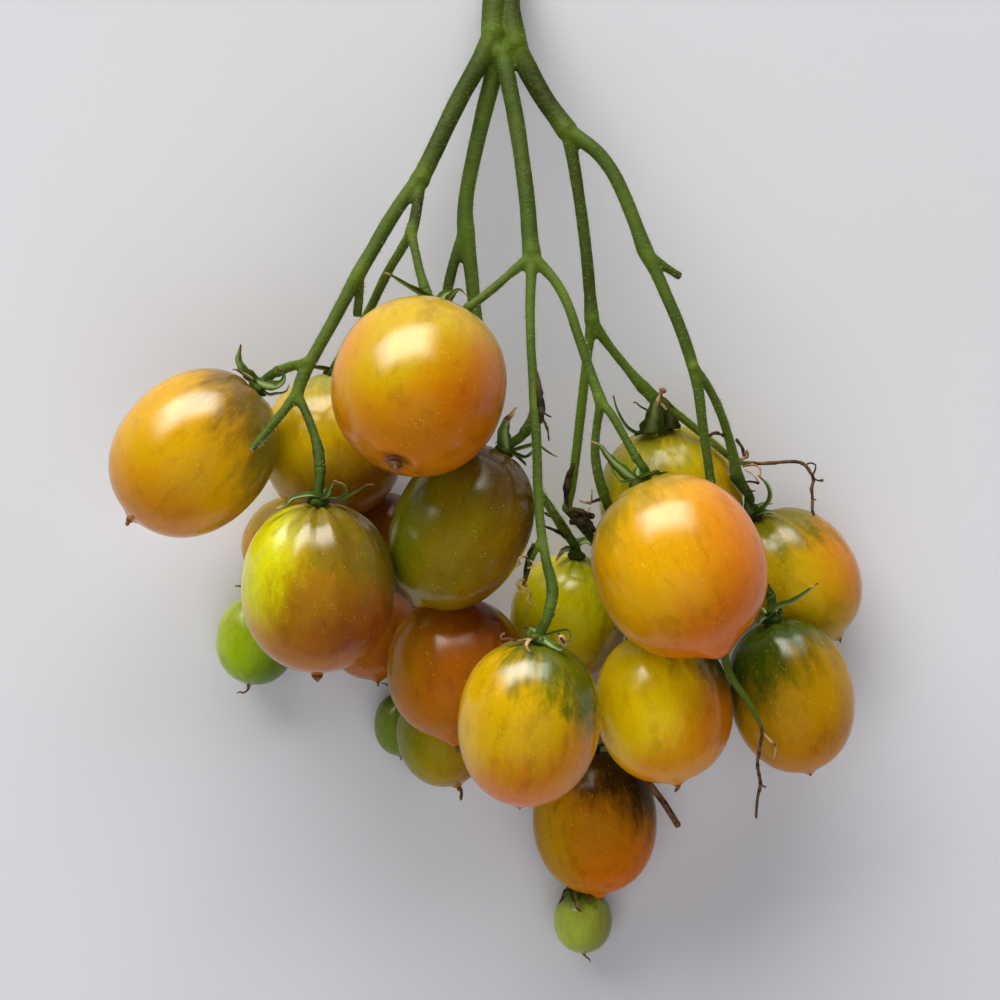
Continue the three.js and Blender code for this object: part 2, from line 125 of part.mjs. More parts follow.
// Sepals as centre lines from the hub to the tip, with the greatest width and a roll about the centre line in degrees.
const SEPALS = {
  '01': [
    { width: 2.70, roll: 0, path: [[-12.13,33.91,56.03],[-14.17,35.28,56.49],[-17.55,37.6,58.49],[-21.16,39.66,60.49],[-24.29,41.79,61.49],[-26.46,42.73,61.99]] },
    { width: 1.70, roll: 0, path: [[-12.13,33.91,56.03],[-10.99,35.52,56.49],[-9.49,37.6,58.49],[-7.77,38.51,59.49],[-6.05,37.02,59.99]] },
    { width: 2.40, roll: 0, path: [[-12.13,33.91,56.03],[-12.72,35.83,55.49],[-11.1,38.17,49.49],[-9.96,39.3,43.49]] },
    { width: 2.40, roll: 0, path: [[-12.13,33.91,56.03],[-13.7,35.58,55.49],[-16.31,37.74,48.49],[-18.19,37.87,42.49]] },
  ],
  '02': [
    { width: 3.00, roll: 40, path: [[-58.03,15.76,42.9],[-58.97,16.87,42.88],[-61.54,18.78,43.95],[-62.86,20.82,44.95],[-63.03,23.75,45.95],[-62.2,25.69,46.95]] },
    { width: 2.30, roll: 30, path: [[-58.03,15.76,42.9],[-58.68,16.67,43.95],[-55.65,15.85,44.95],[-52.85,15.81,45.95],[-51.05,17.51,46.95],[-52.01,19.48,47.45],[-53.95,19.95,47.95]] },
    { width: 1.20, roll: 0, path: [[-58.03,15.76,42.9],[-57.73,15.75,42.91],[-55.71,13.51,44.96],[-52.85,13.83,45.95],[-49.87,15.32,45.95]] },
    { width: 1.10, roll: 0, path: [[-58.03,15.76,42.9],[-59.44,17.27,45.03],[-62.22,19.01,46.15],[-64.33,19.62,48.12]] },
    { width: 2.40, roll: 0, path: [[-58.03,15.76,42.9],[-58.52,16.38,41.83],[-61.32,17.42,35.95],[-62.98,18.62,30.95]] },
  ],
  '03': [
    { width: 2.53, roll: 0, path: [[-40.56,20.3,21.44],[-39.55,20.73,24.12],[-38.56,21.81,26.63],[-37.66,23.47,28.83],[-36.89,25.65,30.59]] },
    { width: 2.32, roll: 0, path: [[-40.56,20.3,21.44],[-38.3,20.16,20.14],[-36.04,19.97,18.85],[-33.78,19.78,17.57],[-31.52,19.6,16.28]] },
    { width: 2.54, roll: 0, path: [[-40.56,20.3,21.44],[-41.03,19.9,18.72],[-41.49,20.07,15.98],[-41.92,20.81,13.33],[-42.3,22.09,10.89]] },
    { width: 2.44, roll: 0, path: [[-40.56,20.3,21.44],[-42.55,20.6,22.81],[-44.52,20.93,24.16],[-46.5,21.39,25.5],[-48.45,21.96,26.8]] },
  ],
  '04': [
    { width: 2.00, roll: 0, path: [[-42.24,-12.29,63.9],[-42.6,-12,64.77],[-45.21,-11.76,65.77],[-47.79,-12.48,66.97],[-49.95,-13.93,67.27],[-51.64,-15.08,67.28]] },
    { width: 2.50, roll: 0, path: [[-42.24,-12.29,63.9],[-41.09,-12.24,65.77],[-39.53,-11.52,67.77],[-38.73,-9.83,69.27],[-38.17,-8.4,70.77],[-37.13,-8.17,72.27]] },
    { width: 1.30, roll: 0, path: [[-42.24,-12.29,63.9],[-40.4,-12.31,64.8],[-37.24,-12.48,65.27],[-35.28,-11.03,65.77],[-35.74,-9.1,66.27],[-37.65,-8.37,66.77]] },
    { width: 0.90, roll: 0, path: [[-42.24,-12.29,63.9],[-40.14,-12.34,64.84],[-36.01,-12.24,65.77],[-32.58,-10.55,66.77],[-30.36,-9.1,67.77],[-28.43,-8.86,67.77]] },
    { width: 2.40, roll: 0, path: [[-42.24,-12.29,63.9],[-42.28,-11.89,61.79],[-41.1,-10.52,56.77],[-40.38,-10.02,51.77]] },
    { width: 2.40, roll: 0, path: [[-42.24,-12.29,63.9],[-43.27,-11.9,61.79],[-45.5,-11.26,56.77],[-47.53,-11.49,51.77]] },
  ],
  '05': [
    { width: 3.20, roll: 50, path: [[3.15,-0.06,46.13],[4.1,-0.23,47.2],[3.23,2.86,48.27],[3.97,6.8,49.27],[6.19,10.23,50.27]] },
    { width: 2.00, roll: 20, path: [[3.15,-0.06,46.13],[4.76,-0.65,47.22],[7.44,0.14,48.27],[10.64,0.87,49.27],[13.36,-0.62,49.27],[16.33,-1.85,49.27]] },
    { width: 1.90, roll: 0, path: [[3.15,-0.06,46.13],[5.59,-1.25,47.18],[7.95,-2.06,46.27],[10.19,-1.05,45.27],[11.93,0.69,45.27]] },
    { width: 1.60, roll: 0, path: [[3.15,-0.06,46.13],[3.04,0.23,46.18],[1.75,1.15,47.27],[0.82,1.45,47.72]] },
    { width: 2.20, roll: 0, path: [[3.15,-0.06,46.13],[4.92,-0.95,46.01],[7.45,-3.09,45.99],[8.59,-4.19,47.12]] },
  ],
  '06': [
    { width: 2.30, roll: 35, path: [[35.77,-7.94,55.97],[35.13,-7.79,57.1],[32.54,-5.88,58.15],[29.33,-2.96,59.15],[26.37,0.19,60.15],[24.39,1.88,61.15]] },
    { width: 1.10, roll: 0, path: [[35.77,-7.94,55.97],[34.33,-8.04,58.04],[31.53,-8.33,59.15],[29.82,-6.38,59.15],[29.05,-4.19,60.15]] },
    { width: 1.30, roll: 0, path: [[35.77,-7.94,55.97],[36.28,-6.99,59.08],[38.58,-6.08,61.17],[40.41,-5.19,62.15]] },
    { width: 2.40, roll: 0, path: [[35.77,-7.94,55.97],[36.88,-7.75,53.97],[40.5,-6.31,50.15],[43.43,-6.03,46.15]] },
    { width: 2.40, roll: 0, path: [[35.77,-7.94,55.97],[35.89,-7.81,54.15],[36.15,-5.3,48.15],[37.11,-3.76,43.15]] },
  ],
  '07': [
    { width: 5.20, roll: 60, path: [[44.33,7.05,20.87],[44.17,7.47,21.71],[43.05,9.97,23.71],[42.44,12.97,25.71],[42.9,15.73,26.71]] },
    { width: 4.20, roll: 40, path: [[44.33,7.05,20.87],[46.02,7.49,20.71],[47.04,10.31,20.71],[47.3,13.13,20.71],[46.53,14.66,20.71]] },
    { width: 2.20, roll: 0, path: [[44.33,7.05,20.87],[43.15,6.97,21.71],[39.02,5.91,22.71],[35.66,7.68,23.71],[32.58,10.72,24.21],[30.78,14.02,24.71]] },
    { width: 1.20, roll: 0, path: [[44.33,7.05,20.87],[44.02,8.03,19.71],[39.71,10.37,18.71],[37.14,12.16,18.71],[35.86,11.9,18.71]] },
  ],
  '08': [
    { width: 2.37, roll: 0, path: [[-9.68,-36.55,33.01],[-8.58,-35.75,35.35],[-7.55,-34.31,37.4],[-6.37,-33.36,37.66],[-5.22,-32.13,37.04]] },
    { width: 2.52, roll: 0, path: [[-9.68,-36.55,33.01],[-7.62,-36.67,32.09],[-5.57,-36.83,31.19],[-3.52,-36.97,30.28],[-1.47,-37.08,29.37]] },
    { width: 2.08, roll: 0, path: [[-9.68,-36.55,33.01],[-10.49,-37.21,30.94],[-11.3,-37.9,28.88],[-12.1,-38.58,26.82],[-12.91,-39.26,24.75]] },
    { width: 2.46, roll: 0, path: [[-9.68,-36.55,33.01],[-11.95,-36.28,33.95],[-14.2,-36.04,34.9],[-16.46,-35.79,35.84],[-18.72,-35.51,36.78]] },
  ],
  '09': [
    { width: 1.30, roll: 0, path: [[11.38,-45.62,68.76],[10.18,-45.46,69.63],[6.8,-44.72,70.62],[3.91,-44.2,71.62],[2.23,-46.34,72.12]] },
    { width: 1.10, roll: 0, path: [[11.38,-45.62,68.76],[9.92,-45.88,71.62],[7.74,-46.51,73.62],[7.38,-47.65,75.22],[9.42,-48.04,76.01]] },
    { width: 2.90, roll: 30, path: [[11.38,-45.62,68.76],[11.69,-45.85,70.77],[14.17,-46.77,72.18],[16.42,-47.85,72.91],[17.57,-46.51,73.62],[16.59,-44.55,74.62]] },
    { width: 2.10, roll: 0, path: [[11.38,-45.62,68.76],[11.88,-45.04,68.62],[14.28,-44.04,69.62],[17.17,-43.56,69.62],[19.07,-45.92,70.62]] },
    { width: 2.40, roll: 0, path: [[11.38,-45.62,68.76],[10.69,-44.84,67.62],[9.28,-43.83,62.62],[7.86,-44.03,57.62]] },
  ],
  '10': [
    { width: 2.82, roll: 0, path: [[39.32,-44.68,38.51],[37.18,-45.29,36.86],[35,-45.57,35.18],[32.81,-45.5,33.49],[30.65,-45.07,31.81]] },
    { width: 2.75, roll: 0, path: [[39.32,-44.68,38.51],[38.79,-44.36,40.64],[38.24,-43.91,42.73],[37.66,-43.27,44.77],[36.86,-42.71,46.38]] },
    { width: 2.77, roll: 0, path: [[39.32,-44.68,38.51],[42.11,-44.06,39.22],[44.77,-42.96,39.83],[47.21,-41.39,40.34],[49.35,-39.4,40.72]] },
    { width: 2.39, roll: 0, path: [[39.32,-44.68,38.51],[40.23,-44.75,36.47],[40.96,-44.17,34.45],[41.44,-42.93,32.67],[41.59,-41.17,31.32]] },
  ],
  '11': [
    { width: 2.70, roll: 20, path: [[70.39,-42.2,32.9],[69.92,-41.66,34.9],[72.35,-39.36,35.9],[75.52,-38.32,36.9],[78.24,-36.3,37.4],[81.7,-33.53,37.9]] },
    { width: 3.00, roll: 0, path: [[70.39,-42.2,32.9],[69.08,-42.12,35.9],[67.41,-43.31,37.9],[66.18,-44.68,38.07]] },
    { width: 2.40, roll: 0, path: [[70.39,-42.2,32.9],[70.75,-42.03,30.89],[73.04,-40.76,27.09],[73.46,-43.08,26.12]] },
    { width: 2.20, roll: 0, path: [[70.39,-42.2,32.9],[69.75,-41.8,30.9],[68.55,-40.16,26.9],[67.49,-39.77,23.93]] },
  ],
  '12': [
    { width: 2.60, roll: 0, path: [[67.63,-16.53,13.32],[68.02,-16.17,16.39],[70.01,-14.52,18.37],[71.47,-11.96,19.37],[70.62,-8.63,20.37],[68.06,-6.32,20.37]] },
    { width: 3.60, roll: 30, path: [[67.63,-16.53,13.32],[67.09,-16.59,16.37],[65.59,-14.81,18.4],[65.65,-12.7,18.51],[65.53,-10.33,18.42]] },
    { width: 2.20, roll: 0, path: [[67.63,-16.53,13.32],[67.66,-16.42,16.48],[70.29,-15.95,19.77],[72.9,-15.93,21.56]] },
    { width: 2.40, roll: 0, path: [[67.63,-16.53,13.32],[67.92,-16.09,12.37],[69.81,-14.02,11.37],[72.48,-13.5,10.37]] },
  ],
  '13': [
    { width: 2.40, roll: 0, path: [[21.54,-26.29,18.39],[20.69,-25.53,20.19],[18.61,-25.76,21.69],[16.44,-28.08,22.97]] },
    { width: 3.20, roll: 30, path: [[21.54,-26.29,18.39],[21.97,-24.76,20.19],[24.23,-23.46,21.69],[27.02,-24.98,22.69]] },
    { width: 2.40, roll: 0, path: [[21.54,-26.29,18.39],[21.27,-25.32,17.19],[21.6,-23.3,14.19],[22.73,-22.58,10.19]] },
  ],
  '14': [
    { width: 2.44, roll: 0, path: [[25.28,-76.3,14.25],[22.52,-76.42,14.58],[19.85,-75.74,14.86],[17.49,-74.29,15.05],[15.67,-72.19,15.14]] },
    { width: 2.57, roll: 0, path: [[25.28,-76.3,14.25],[25.85,-76.06,16.21],[26.34,-75.21,17.99],[26.69,-73.75,19.37],[26.84,-71.88,20.16]] },
    { width: 2.47, roll: 0, path: [[25.28,-76.3,14.25],[27.98,-76.1,14.18],[30.59,-75.44,14.08],[33.04,-74.32,13.96],[35.24,-72.76,13.83]] },
    { width: 2.25, roll: 0, path: [[25.28,-76.3,14.25],[25.36,-76.3,12.18],[25.41,-75.87,10.17],[25.42,-74.95,8.32],[25.39,-73.59,6.78]] },
  ],
  '15': [
    { width: 2.40, roll: 0, path: [[23.39,-113,7.87],[21.75,-113.33,9.43],[21.37,-114.53,12.83],[21.83,-117.06,15.33],[22.85,-118.8,15.83]] },
    { width: 1.90, roll: 0, path: [[23.39,-113,7.87],[22.78,-113.38,8.88],[24.68,-115.17,13.8],[25.18,-116.54,15.33]] },
    { width: 2.10, roll: 0, path: [[23.39,-113,7.87],[22.1,-113,8.57],[19.33,-114.55,11.07],[17.44,-117.01,12.08]] },
    { width: 1.00, roll: 0, path: [[23.39,-113,7.87],[22.32,-112.98,8.4],[20.36,-112.93,9.78],[18.58,-112.14,10.14]] },
  ],
  '16': [
    { width: 2.18, roll: 0, path: [[-58.68,-36.7,10.5],[-60.65,-36.25,10.33],[-62.63,-35.85,10.15],[-64.6,-35.42,9.98],[-66.56,-34.98,9.81]] },
    { width: 1.77, roll: 0, path: [[-58.68,-36.7,10.5],[-59.63,-36.61,12.52],[-60.47,-36.07,14.53],[-61.16,-35.09,16.42],[-61.67,-33.72,18.11]] },
    { width: 1.93, roll: 0, path: [[-58.68,-36.7,10.5],[-56.72,-37.04,11.09],[-54.85,-37.37,11.72],[-53.03,-37.51,12.36],[-51.36,-37.35,12.99]] },
    { width: 1.94, roll: 0, path: [[-58.68,-36.7,10.5],[-57.85,-36.69,8.82],[-56.99,-36.41,7.19],[-56.12,-35.81,5.66],[-55.29,-35.09,4.16]] },
  ],
  '17': [
    { width: 1.85, roll: 0, path: [[-32.28,-33.72,9.72],[-31.35,-33.36,11.1],[-30.51,-32.59,12.36],[-30.03,-32.23,13.66],[-29.85,-31.77,14.82]] },
    { width: 1.77, roll: 0, path: [[-32.28,-33.72,9.72],[-30.67,-33.58,8.61],[-29.19,-32.98,7.52],[-27.96,-32.52,6.28],[-27,-31.93,4.96]] },
    { width: 1.78, roll: 0, path: [[-32.28,-33.72,9.72],[-33.2,-33.88,8.15],[-34.12,-33.91,6.59],[-35.04,-33.72,5.05],[-35.95,-33.29,3.54]] },
    { width: 2.10, roll: 0, path: [[-32.28,-33.72,9.72],[-34.09,-33.73,10.87],[-35.91,-33.43,11.97],[-37.68,-32.77,12.98],[-39.35,-31.77,13.87]] },
  ],
  '18': [
    { width: 1.75, roll: 0, path: [[-23.79,-61.84,6.08],[-22.5,-61.79,5.15],[-21.23,-61.52,4.25],[-20.02,-60.99,3.39],[-18.9,-60.21,2.59]] },
    { width: 1.47, roll: 0, path: [[-23.79,-61.84,6.08],[-24.39,-61.73,4.97],[-24.97,-61.49,3.91],[-25.52,-61.02,2.9],[-26.01,-60.34,2]] },
    { width: 1.51, roll: 0, path: [[-23.79,-61.84,6.08],[-25.24,-61.79,6.83],[-26.63,-61.36,7.55],[-27.87,-60.55,8.2],[-28.78,-60.06,8.59]] },
    { width: 1.45, roll: 0, path: [[-23.79,-61.84,6.08],[-23.36,-61.83,7.7],[-22.93,-61.64,9.31],[-22.5,-61.26,10.89],[-22.09,-60.71,12.42]] },
  ],
  '19': [
    { width: 2.09, roll: 0, path: [[-17.08,-60.4,19.83],[-15.84,-59.91,18.72],[-14.73,-59.15,17.65],[-13.83,-58.07,16.66],[-13.17,-56.74,15.8]] },
    { width: 2.10, roll: 0, path: [[-17.08,-60.4,19.83],[-18.69,-60.86,18.77],[-20.29,-61.35,17.72],[-21.9,-61.81,16.67],[-23.51,-62.25,15.63]] },
    { width: 2.14, roll: 0, path: [[-17.08,-60.4,19.83],[-17.89,-60.58,21.34],[-18.73,-60.66,22.84],[-19.61,-60.56,24.32],[-20.52,-60.28,25.75]] },
    { width: 2.06, roll: 0, path: [[-17.08,-60.4,19.83],[-15.53,-59.83,20.8],[-14.01,-59.18,21.77],[-12.56,-58.41,22.73],[-11.17,-57.5,23.68]] },
  ],
  '20': [
    { width: 1.99, roll: 0, path: [[-46.01,-13.1,9.72],[-47.23,-12.36,8.57],[-48.16,-11.28,7.44],[-48.67,-9.88,6.39],[-48.71,-8.27,5.54]] },
    { width: 2.03, roll: 0, path: [[-46.01,-13.1,9.72],[-47.18,-12.11,10.78],[-48.21,-10.96,11.79],[-49.44,-10.06,12.03],[-50.55,-9,12.04]] },
    { width: 1.91, roll: 0, path: [[-46.01,-13.1,9.72],[-44.78,-13.58,11.37],[-43.44,-13.9,12.85],[-42.02,-14.72,13.52],[-40.43,-15.24,14.08]] },
    { width: 1.91, roll: 0, path: [[-46.01,-13.1,9.72],[-45,-13.87,8.02],[-43.94,-14.57,6.32],[-42.81,-15.13,4.61],[-41.62,-15.56,2.92]] },
  ],
  '21': [
    { width: 1.70, roll: 0, path: [[-30.28,-10.28,7.27],[-31.97,-10.74,6.54],[-33.69,-10.89,5.76],[-35.38,-10.66,4.94],[-36.97,-10.06,4.13]] },
    { width: 2.05, roll: 0, path: [[-30.28,-10.28,7.27],[-31.56,-10.17,8.77],[-32.88,-9.6,10.11],[-33.82,-9.04,10.32],[-34.5,-8.29,9.67]] },
    { width: 1.85, roll: 0, path: [[-30.28,-10.28,7.27],[-28.75,-9.75,7.62],[-27.36,-8.93,7.89],[-26.21,-7.77,8.04],[-25.39,-6.35,8.05]] },
    { width: 2.17, roll: 0, path: [[-30.28,-10.28,7.27],[-29.28,-10.5,5.23],[-28.34,-10.53,3.17],[-27.44,-10.37,1.2],[-26.62,-10,1.2]] },
  ],
};

// ---- helpers ----
const wasm = await Module();
wasm.setup();

const solid = (geometry) => {
  const g = geometry.clone();
  g.deleteAttribute("normal");
  g.deleteAttribute("uv");
  const m = mergeVertices(g, 1e-4);
  const made = new wasm.Manifold(
    new wasm.Mesh({
      numProp: 3,
      vertProperties: Float32Array.from(m.attributes.position.array),
      triVerts: Uint32Array.from(m.index.array),
    }),
  );
  return made;
};

const geometryOf = (body) => {
  const m = body.getMesh();
  const n = m.numProp;
  const v = new Float32Array(m.numVert * 3);
  for (let i = 0; i < m.numVert; i++)
    v.set(m.vertProperties.subarray(i * n, i * n + 3), i * 3);
  const g = new THREE.BufferGeometry();
  g.setAttribute("position", new THREE.BufferAttribute(v, 3));
  g.setIndex(new THREE.BufferAttribute(new Uint32Array(m.triVerts), 1));
  g.computeVertexNormals();
  return g;
};

const largest = (body) => {
  const parts = body.decompose();
  let best = parts[0];
  for (const p of parts) if (p.volume() > best.volume()) best = p;
  return best;
};

const vec = (a) => new THREE.Vector3(a[0], a[1], a[2]);

// Frames along a curve: the side vector is carried along without twisting.
const frames = (curve, steps, side0) => {
  const out = [];
  let side = side0 ? side0.clone() : null;
  for (let i = 0; i <= steps; i++) {
    const t = i / steps;
    const p = curve.getPointAt(t);
    const tan = curve.getTangentAt(t).normalize();
    if (!side) {
      side = new THREE.Vector3(0, 0, 1);
      if (Math.abs(side.dot(tan)) > 0.95) side.set(1, 0, 0);
    }
    side.addScaledVector(tan, -side.dot(tan));
    if (side.lengthSq() < 1e-8) side.set(tan.y, -tan.x, 0.01);
    side.normalize();
    out.push({ p, tan, at: curve.getUtoTmapping(t), side: side.clone(), up: new THREE.Vector3().crossVectors(tan, side) });
  }
  return out;
};

// A closed cylinder whose rings are moved onto a centre line: half sizes a (along side) and b (along up) at each ring.
const swept = (fr, sides, a, b, turn = 0) => {
  const steps = fr.length - 1;
  const g = new THREE.CylinderGeometry(1, 1, 1, sides, steps, false);
  const pos = g.attributes.position;
  const q = new THREE.Vector3();
  for (let i = 0; i < pos.count; i++) {
    q.fromBufferAttribute(pos, i);
    const k = Math.round((q.y + 0.5) * steps);
    const f = fr[k];
    const c = q.x * Math.cos(turn) - q.z * Math.sin(turn);
    const s = q.x * Math.sin(turn) + q.z * Math.cos(turn);
    // x, y, z of the cylinder go to side, tangent and side x tangent, which keeps its handedness
    pos.setXYZ(
      i,
      f.p.x + f.side.x * c * a[k] - f.up.x * s * b[k],
      f.p.y + f.side.y * c * a[k] - f.up.y * s * b[k],
      f.p.z + f.side.z * c * a[k] - f.up.z * s * b[k],
    );
  }
  return g;
};

const tube = (points, sides, step, grow = 0, startShift = 0) => {
  const curve = new THREE.CatmullRomCurve3(points.map(vec), false, "centripetal");
  const last = points.length - 1;
  const n = Math.max(2, Math.round(curve.getLength() / step));
  const fr = frames(curve, n);
  const r = fr.map((f) => {
    const k = Math.min(Math.floor(f.at * last), last - 1);
    const t = f.at * last - k;
    return (points[k][3] * (1 - t) + points[k + 1][3] * t + grow) * (sides < 8 ? 1.06 : 1.03);
  });
  if (startShift) fr[0].p.addScaledVector(fr[0].tan, startShift);
  if (grow) {
    fr[0].p.addScaledVector(fr[0].tan, -grow);
    fr[n].p.addScaledVector(fr[n].tan, grow);
  }
  return solid(swept(fr, sides, r, r));
};

const ball = (p, r) => {
  const g = new THREE.SphereGeometry(r, 6, 4);
  g.translate(p[0], p[1], p[2]);
  return solid(g);
};

// ---- fruits ----
const fruitFrame = (f) => {
  const w = vec(f.blossom).normalize().negate();
  const u = new THREE.Vector3().crossVectors(w, new THREE.Vector3(0, 0, 1)).normalize();
  const v = new THREE.Vector3().crossVectors(w, u);
  return { u, v, w };
};

const fruitBody = (f, grow = 0) => {
  const half = f.half_length + grow;
  const radius = (f.radius + grow) * 1.012;
  const pts = [];
  for (let i = 0; i <= FRUIT_RINGS; i++) {
    const t = (Math.PI * i) / FRUIT_RINGS;
    const c = -Math.cos(t);
    const h = half * Math.sign(c) * Math.abs(c) ** (2 / FRUIT_POWER);
    const r = radius * Math.abs(Math.sin(t)) ** (2 / FRUIT_POWER) * (1 + (f.egg * h) / half);
    pts.push(new THREE.Vector2(i === 0 || i === FRUIT_RINGS ? 0 : r, h));
  }
  // the blossom point: drop the rings that would make the profile hollow beside it
  const tip = new THREE.Vector2(0, -half - f.tip);
  let keep = 1;
  const slope = (p) => (p.y - tip.y) / Math.max(p.x, 1e-6);
  while (keep + 1 < pts.length && slope(pts[keep + 1]) < slope(pts[keep])) keep++;
  const profile = [tip, ...pts.slice(keep)];
  const g = new THREE.LatheGeometry(profile, FRUIT_SIDES);
  const { u, v, w } = fruitFrame(f);
  const m = new THREE.Matrix4().makeBasis(u, w, v.clone().multiplyScalar(-f.depth));
  m.setPosition(...f.centre);
  g.applyMatrix4(m);
  return solid(g);
};

// What rests on the surface is cut flat there.
const cutter = (() => {
  const g = new THREE.BoxGeometry(600, 600, 60);
  g.translate(0, 0, -30);
  return solid(g);
})();

const fruits = new Map();
const grown = new Map();
for (const f of FRUITS) {
  fruits.set(f.id, fruitBody(f).subtract(cutter));
  grown.set(f.id, fruitBody(f, GAP));
}
const near = (f, g, reach) => vec(f.centre).distanceTo(vec(g.centre)) < reach + g.half_length + g.radius;

// ---- calyxes ----
const sepalBody = (s, hub, axis, rim, grow = 0) => {
  const pts = s.path.map(vec);
  // it leaves the hub's rim, not its middle
  const away = pts[1].clone().sub(pts[0]);
  away.addScaledVector(axis, -away.dot(axis));
  if (away.lengthSq() > 0.04) pts[0].addScaledVector(away.normalize(), Math.min(rim * 0.6, pts[1].distanceTo(pts[0]) * 0.5));
  const curve = new THREE.CatmullRomCurve3(pts, false, "centripetal");
  const out = pts[2].clone().sub(hub);
  out.addScaledVector(axis, -out.dot(axis));
  let side = new THREE.Vector3().crossVectors(axis, out);
  if (side.lengthSq() < 1e-6) side = new THREE.Vector3(1, 0, 0);
  side.normalize();
  const t0 = curve.getTangent(0).normalize();
  side.applyAxisAngle(t0, (s.roll * Math.PI) / 180);
  const fr = frames(curve, SEPAL_STEPS, side);
  const a = [];
  const b = [];
  for (let i = 0; i <= SEPAL_STEPS; i++) {
    const t = i / SEPAL_STEPS;
    const shape = t < 0.35 ? 0.62 + (0.38 * t) / 0.35 : 1 - 0.72 * ((t - 0.35) / 0.65) ** 1.3;
    a.push(Math.max((s.width / 2) * shape, 0.45) * 1.12 + grow * 1.5);
    b.push((SEPAL_THICKNESS / 2) * (1 - 0.1 * t) * 1.45 + grow * 1.5);
  }
  return solid(swept(fr, 3, a, b, Math.PI)); // keeled: one flat face and a ridge
};

const calyxBody = (f, grow = 0) => {
  const { u, v, w } = fruitFrame(f);
  const top = vec(f.centre).addScaledVector(w, f.half_length);
  const r = HUB_BASE + HUB_SHARE * f.radius + grow;
  const profile = [
    new THREE.Vector2(0, 0.35 - grow),
    new THREE.Vector2(r, 0.35 - grow),
    new THREE.Vector2(r * 0.95, 1.0),
    new THREE.Vector2(r * 0.6, HUB_HEIGHT + grow),
    new THREE.Vector2(0, HUB_HEIGHT + 0.1 + grow),
  ];
  const g = new THREE.LatheGeometry(profile, 6);
  const m = new THREE.Matrix4().makeBasis(u, w, v.clone().negate());
  m.setPosition(top);
  g.applyMatrix4(m);
  let body = solid(g);
  body = body.add(tube(PEDICELS[f.id], PEDICEL_SIDES, PEDICEL_STEP, grow, grow ? 0 : 0.15));
  for (const s of SEPALS[f.id]) body = body.add(sepalBody(s, top, w, r - grow, grow));
  return body;
};

// ---- stalk ----
const sidesOf = (name) => (name.startsWith("stalk") ? STEM_SIDES : name.startsWith("inner") ? INNER_SIDES : STALK_SIDES);
const branch = (name, grow = 0) => tube(BRANCHES[name], sidesOf(name), STALK_STEP, grow);
const names = Object.keys(BRANCHES);
let stalk = null;
for (const n of names) {
  const b = branch(n);
  stalk = stalk ? stalk.add(b) : b;
}
// swellings where branches part: at the start of each branch that leaves another
for (const n of names) {
  const p = BRANCHES[n][0];
  if (n.startsWith("stalk") || n.startsWith("inner")) continue;
  stalk = stalk.add(ball(p, p[3] * 1.08));
}
stalk = stalk.subtract(cutter);
for (const f of FRUITS) stalk = stalk.subtract(grown.get(f.id));

const calyxes = new Map();
const grownStalk = names.map((n) => branch(n, GAP)).reduce((a, b) => a.add(b));
const done = [];
for (const f of FRUITS) {
  let c = calyxBody(f).subtract(cutter);
  for (const g of FRUITS) if (near(f, g, 45)) c = c.subtract(grown.get(g.id));
  for (const [other, body] of done) if (near(f, other, 45)) c = c.subtract(body);
  c = c.subtract(grownStalk);
  c = largest(c.simplify(TRIM));
  calyxes.set(f.id, c);
  done.push([f, calyxBody(f, GAP)]);
}
stalk = largest(stalk.simplify(TRIM));

// ---- the part ----
const part = new THREE.Group();
part.name = "tomato_truss";
const addMesh = (name, body, colour, roughness) => {
  const mesh = new THREE.Mesh(
    geometryOf(body),
    new THREE.MeshStandardMaterial({ color: colour, roughness, metalness: 0 }),
  );
  mesh.name = name;
  part.add(mesh);
};
const COLOURS = {
  "01": 0xd98a1c, "02": 0xcf931f, "03": 0xa99322, "04": 0xa8a11c, "05": 0x6f6a18, "06": 0xdd8a22, "07": 0xb9a91d,
  "08": 0xb5651a, "09": 0xc7951a, "10": 0xb88f1c, "11": 0x9d8b1c, "12": 0xc0961e, "13": 0xa09a1a, "14": 0x9a5e18,
  "15": 0xa3b53a, "16": 0x86ad2a, "17": 0xa8641b, "18": 0x86a52e, "19": 0xa39a1d, "20": 0xc98f1c, "21": 0x8f5a18,
};
addMesh("truss_stalk", stalk, 0x4f7a34, 0.7);
for (const f of FRUITS) {
  addMesh("tomato_" + f.id, fruits.get(f.id), COLOURS[f.id], 0.3);
  addMesh("calyx_" + f.id, calyxes.get(f.id), 0x5b8038, 0.7);
}

export default part;
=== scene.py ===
"""Looks for a picked truss of small oval tomatoes, laid down. Metres, the same frame as the CAD model."""
import math

import bpy
import numpy as np
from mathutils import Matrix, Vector


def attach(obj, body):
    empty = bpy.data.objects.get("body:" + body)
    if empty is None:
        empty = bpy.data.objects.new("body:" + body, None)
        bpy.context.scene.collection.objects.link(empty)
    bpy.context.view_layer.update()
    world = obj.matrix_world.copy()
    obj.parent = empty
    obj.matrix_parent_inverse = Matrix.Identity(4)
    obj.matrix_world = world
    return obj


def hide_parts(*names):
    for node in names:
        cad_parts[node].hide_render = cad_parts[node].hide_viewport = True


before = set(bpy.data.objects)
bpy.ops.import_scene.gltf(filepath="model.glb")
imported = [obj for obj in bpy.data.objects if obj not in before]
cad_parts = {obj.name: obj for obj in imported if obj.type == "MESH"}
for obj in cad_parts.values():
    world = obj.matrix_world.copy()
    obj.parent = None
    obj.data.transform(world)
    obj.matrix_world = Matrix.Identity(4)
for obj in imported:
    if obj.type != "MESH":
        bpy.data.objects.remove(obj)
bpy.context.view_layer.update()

# ---- tables shared with the CAD model, mm ----
FRUIT_POWER = 2.15
OFFSET = (1.993, -12.726)  # where the layout's own middle is, seen from this frame's origin
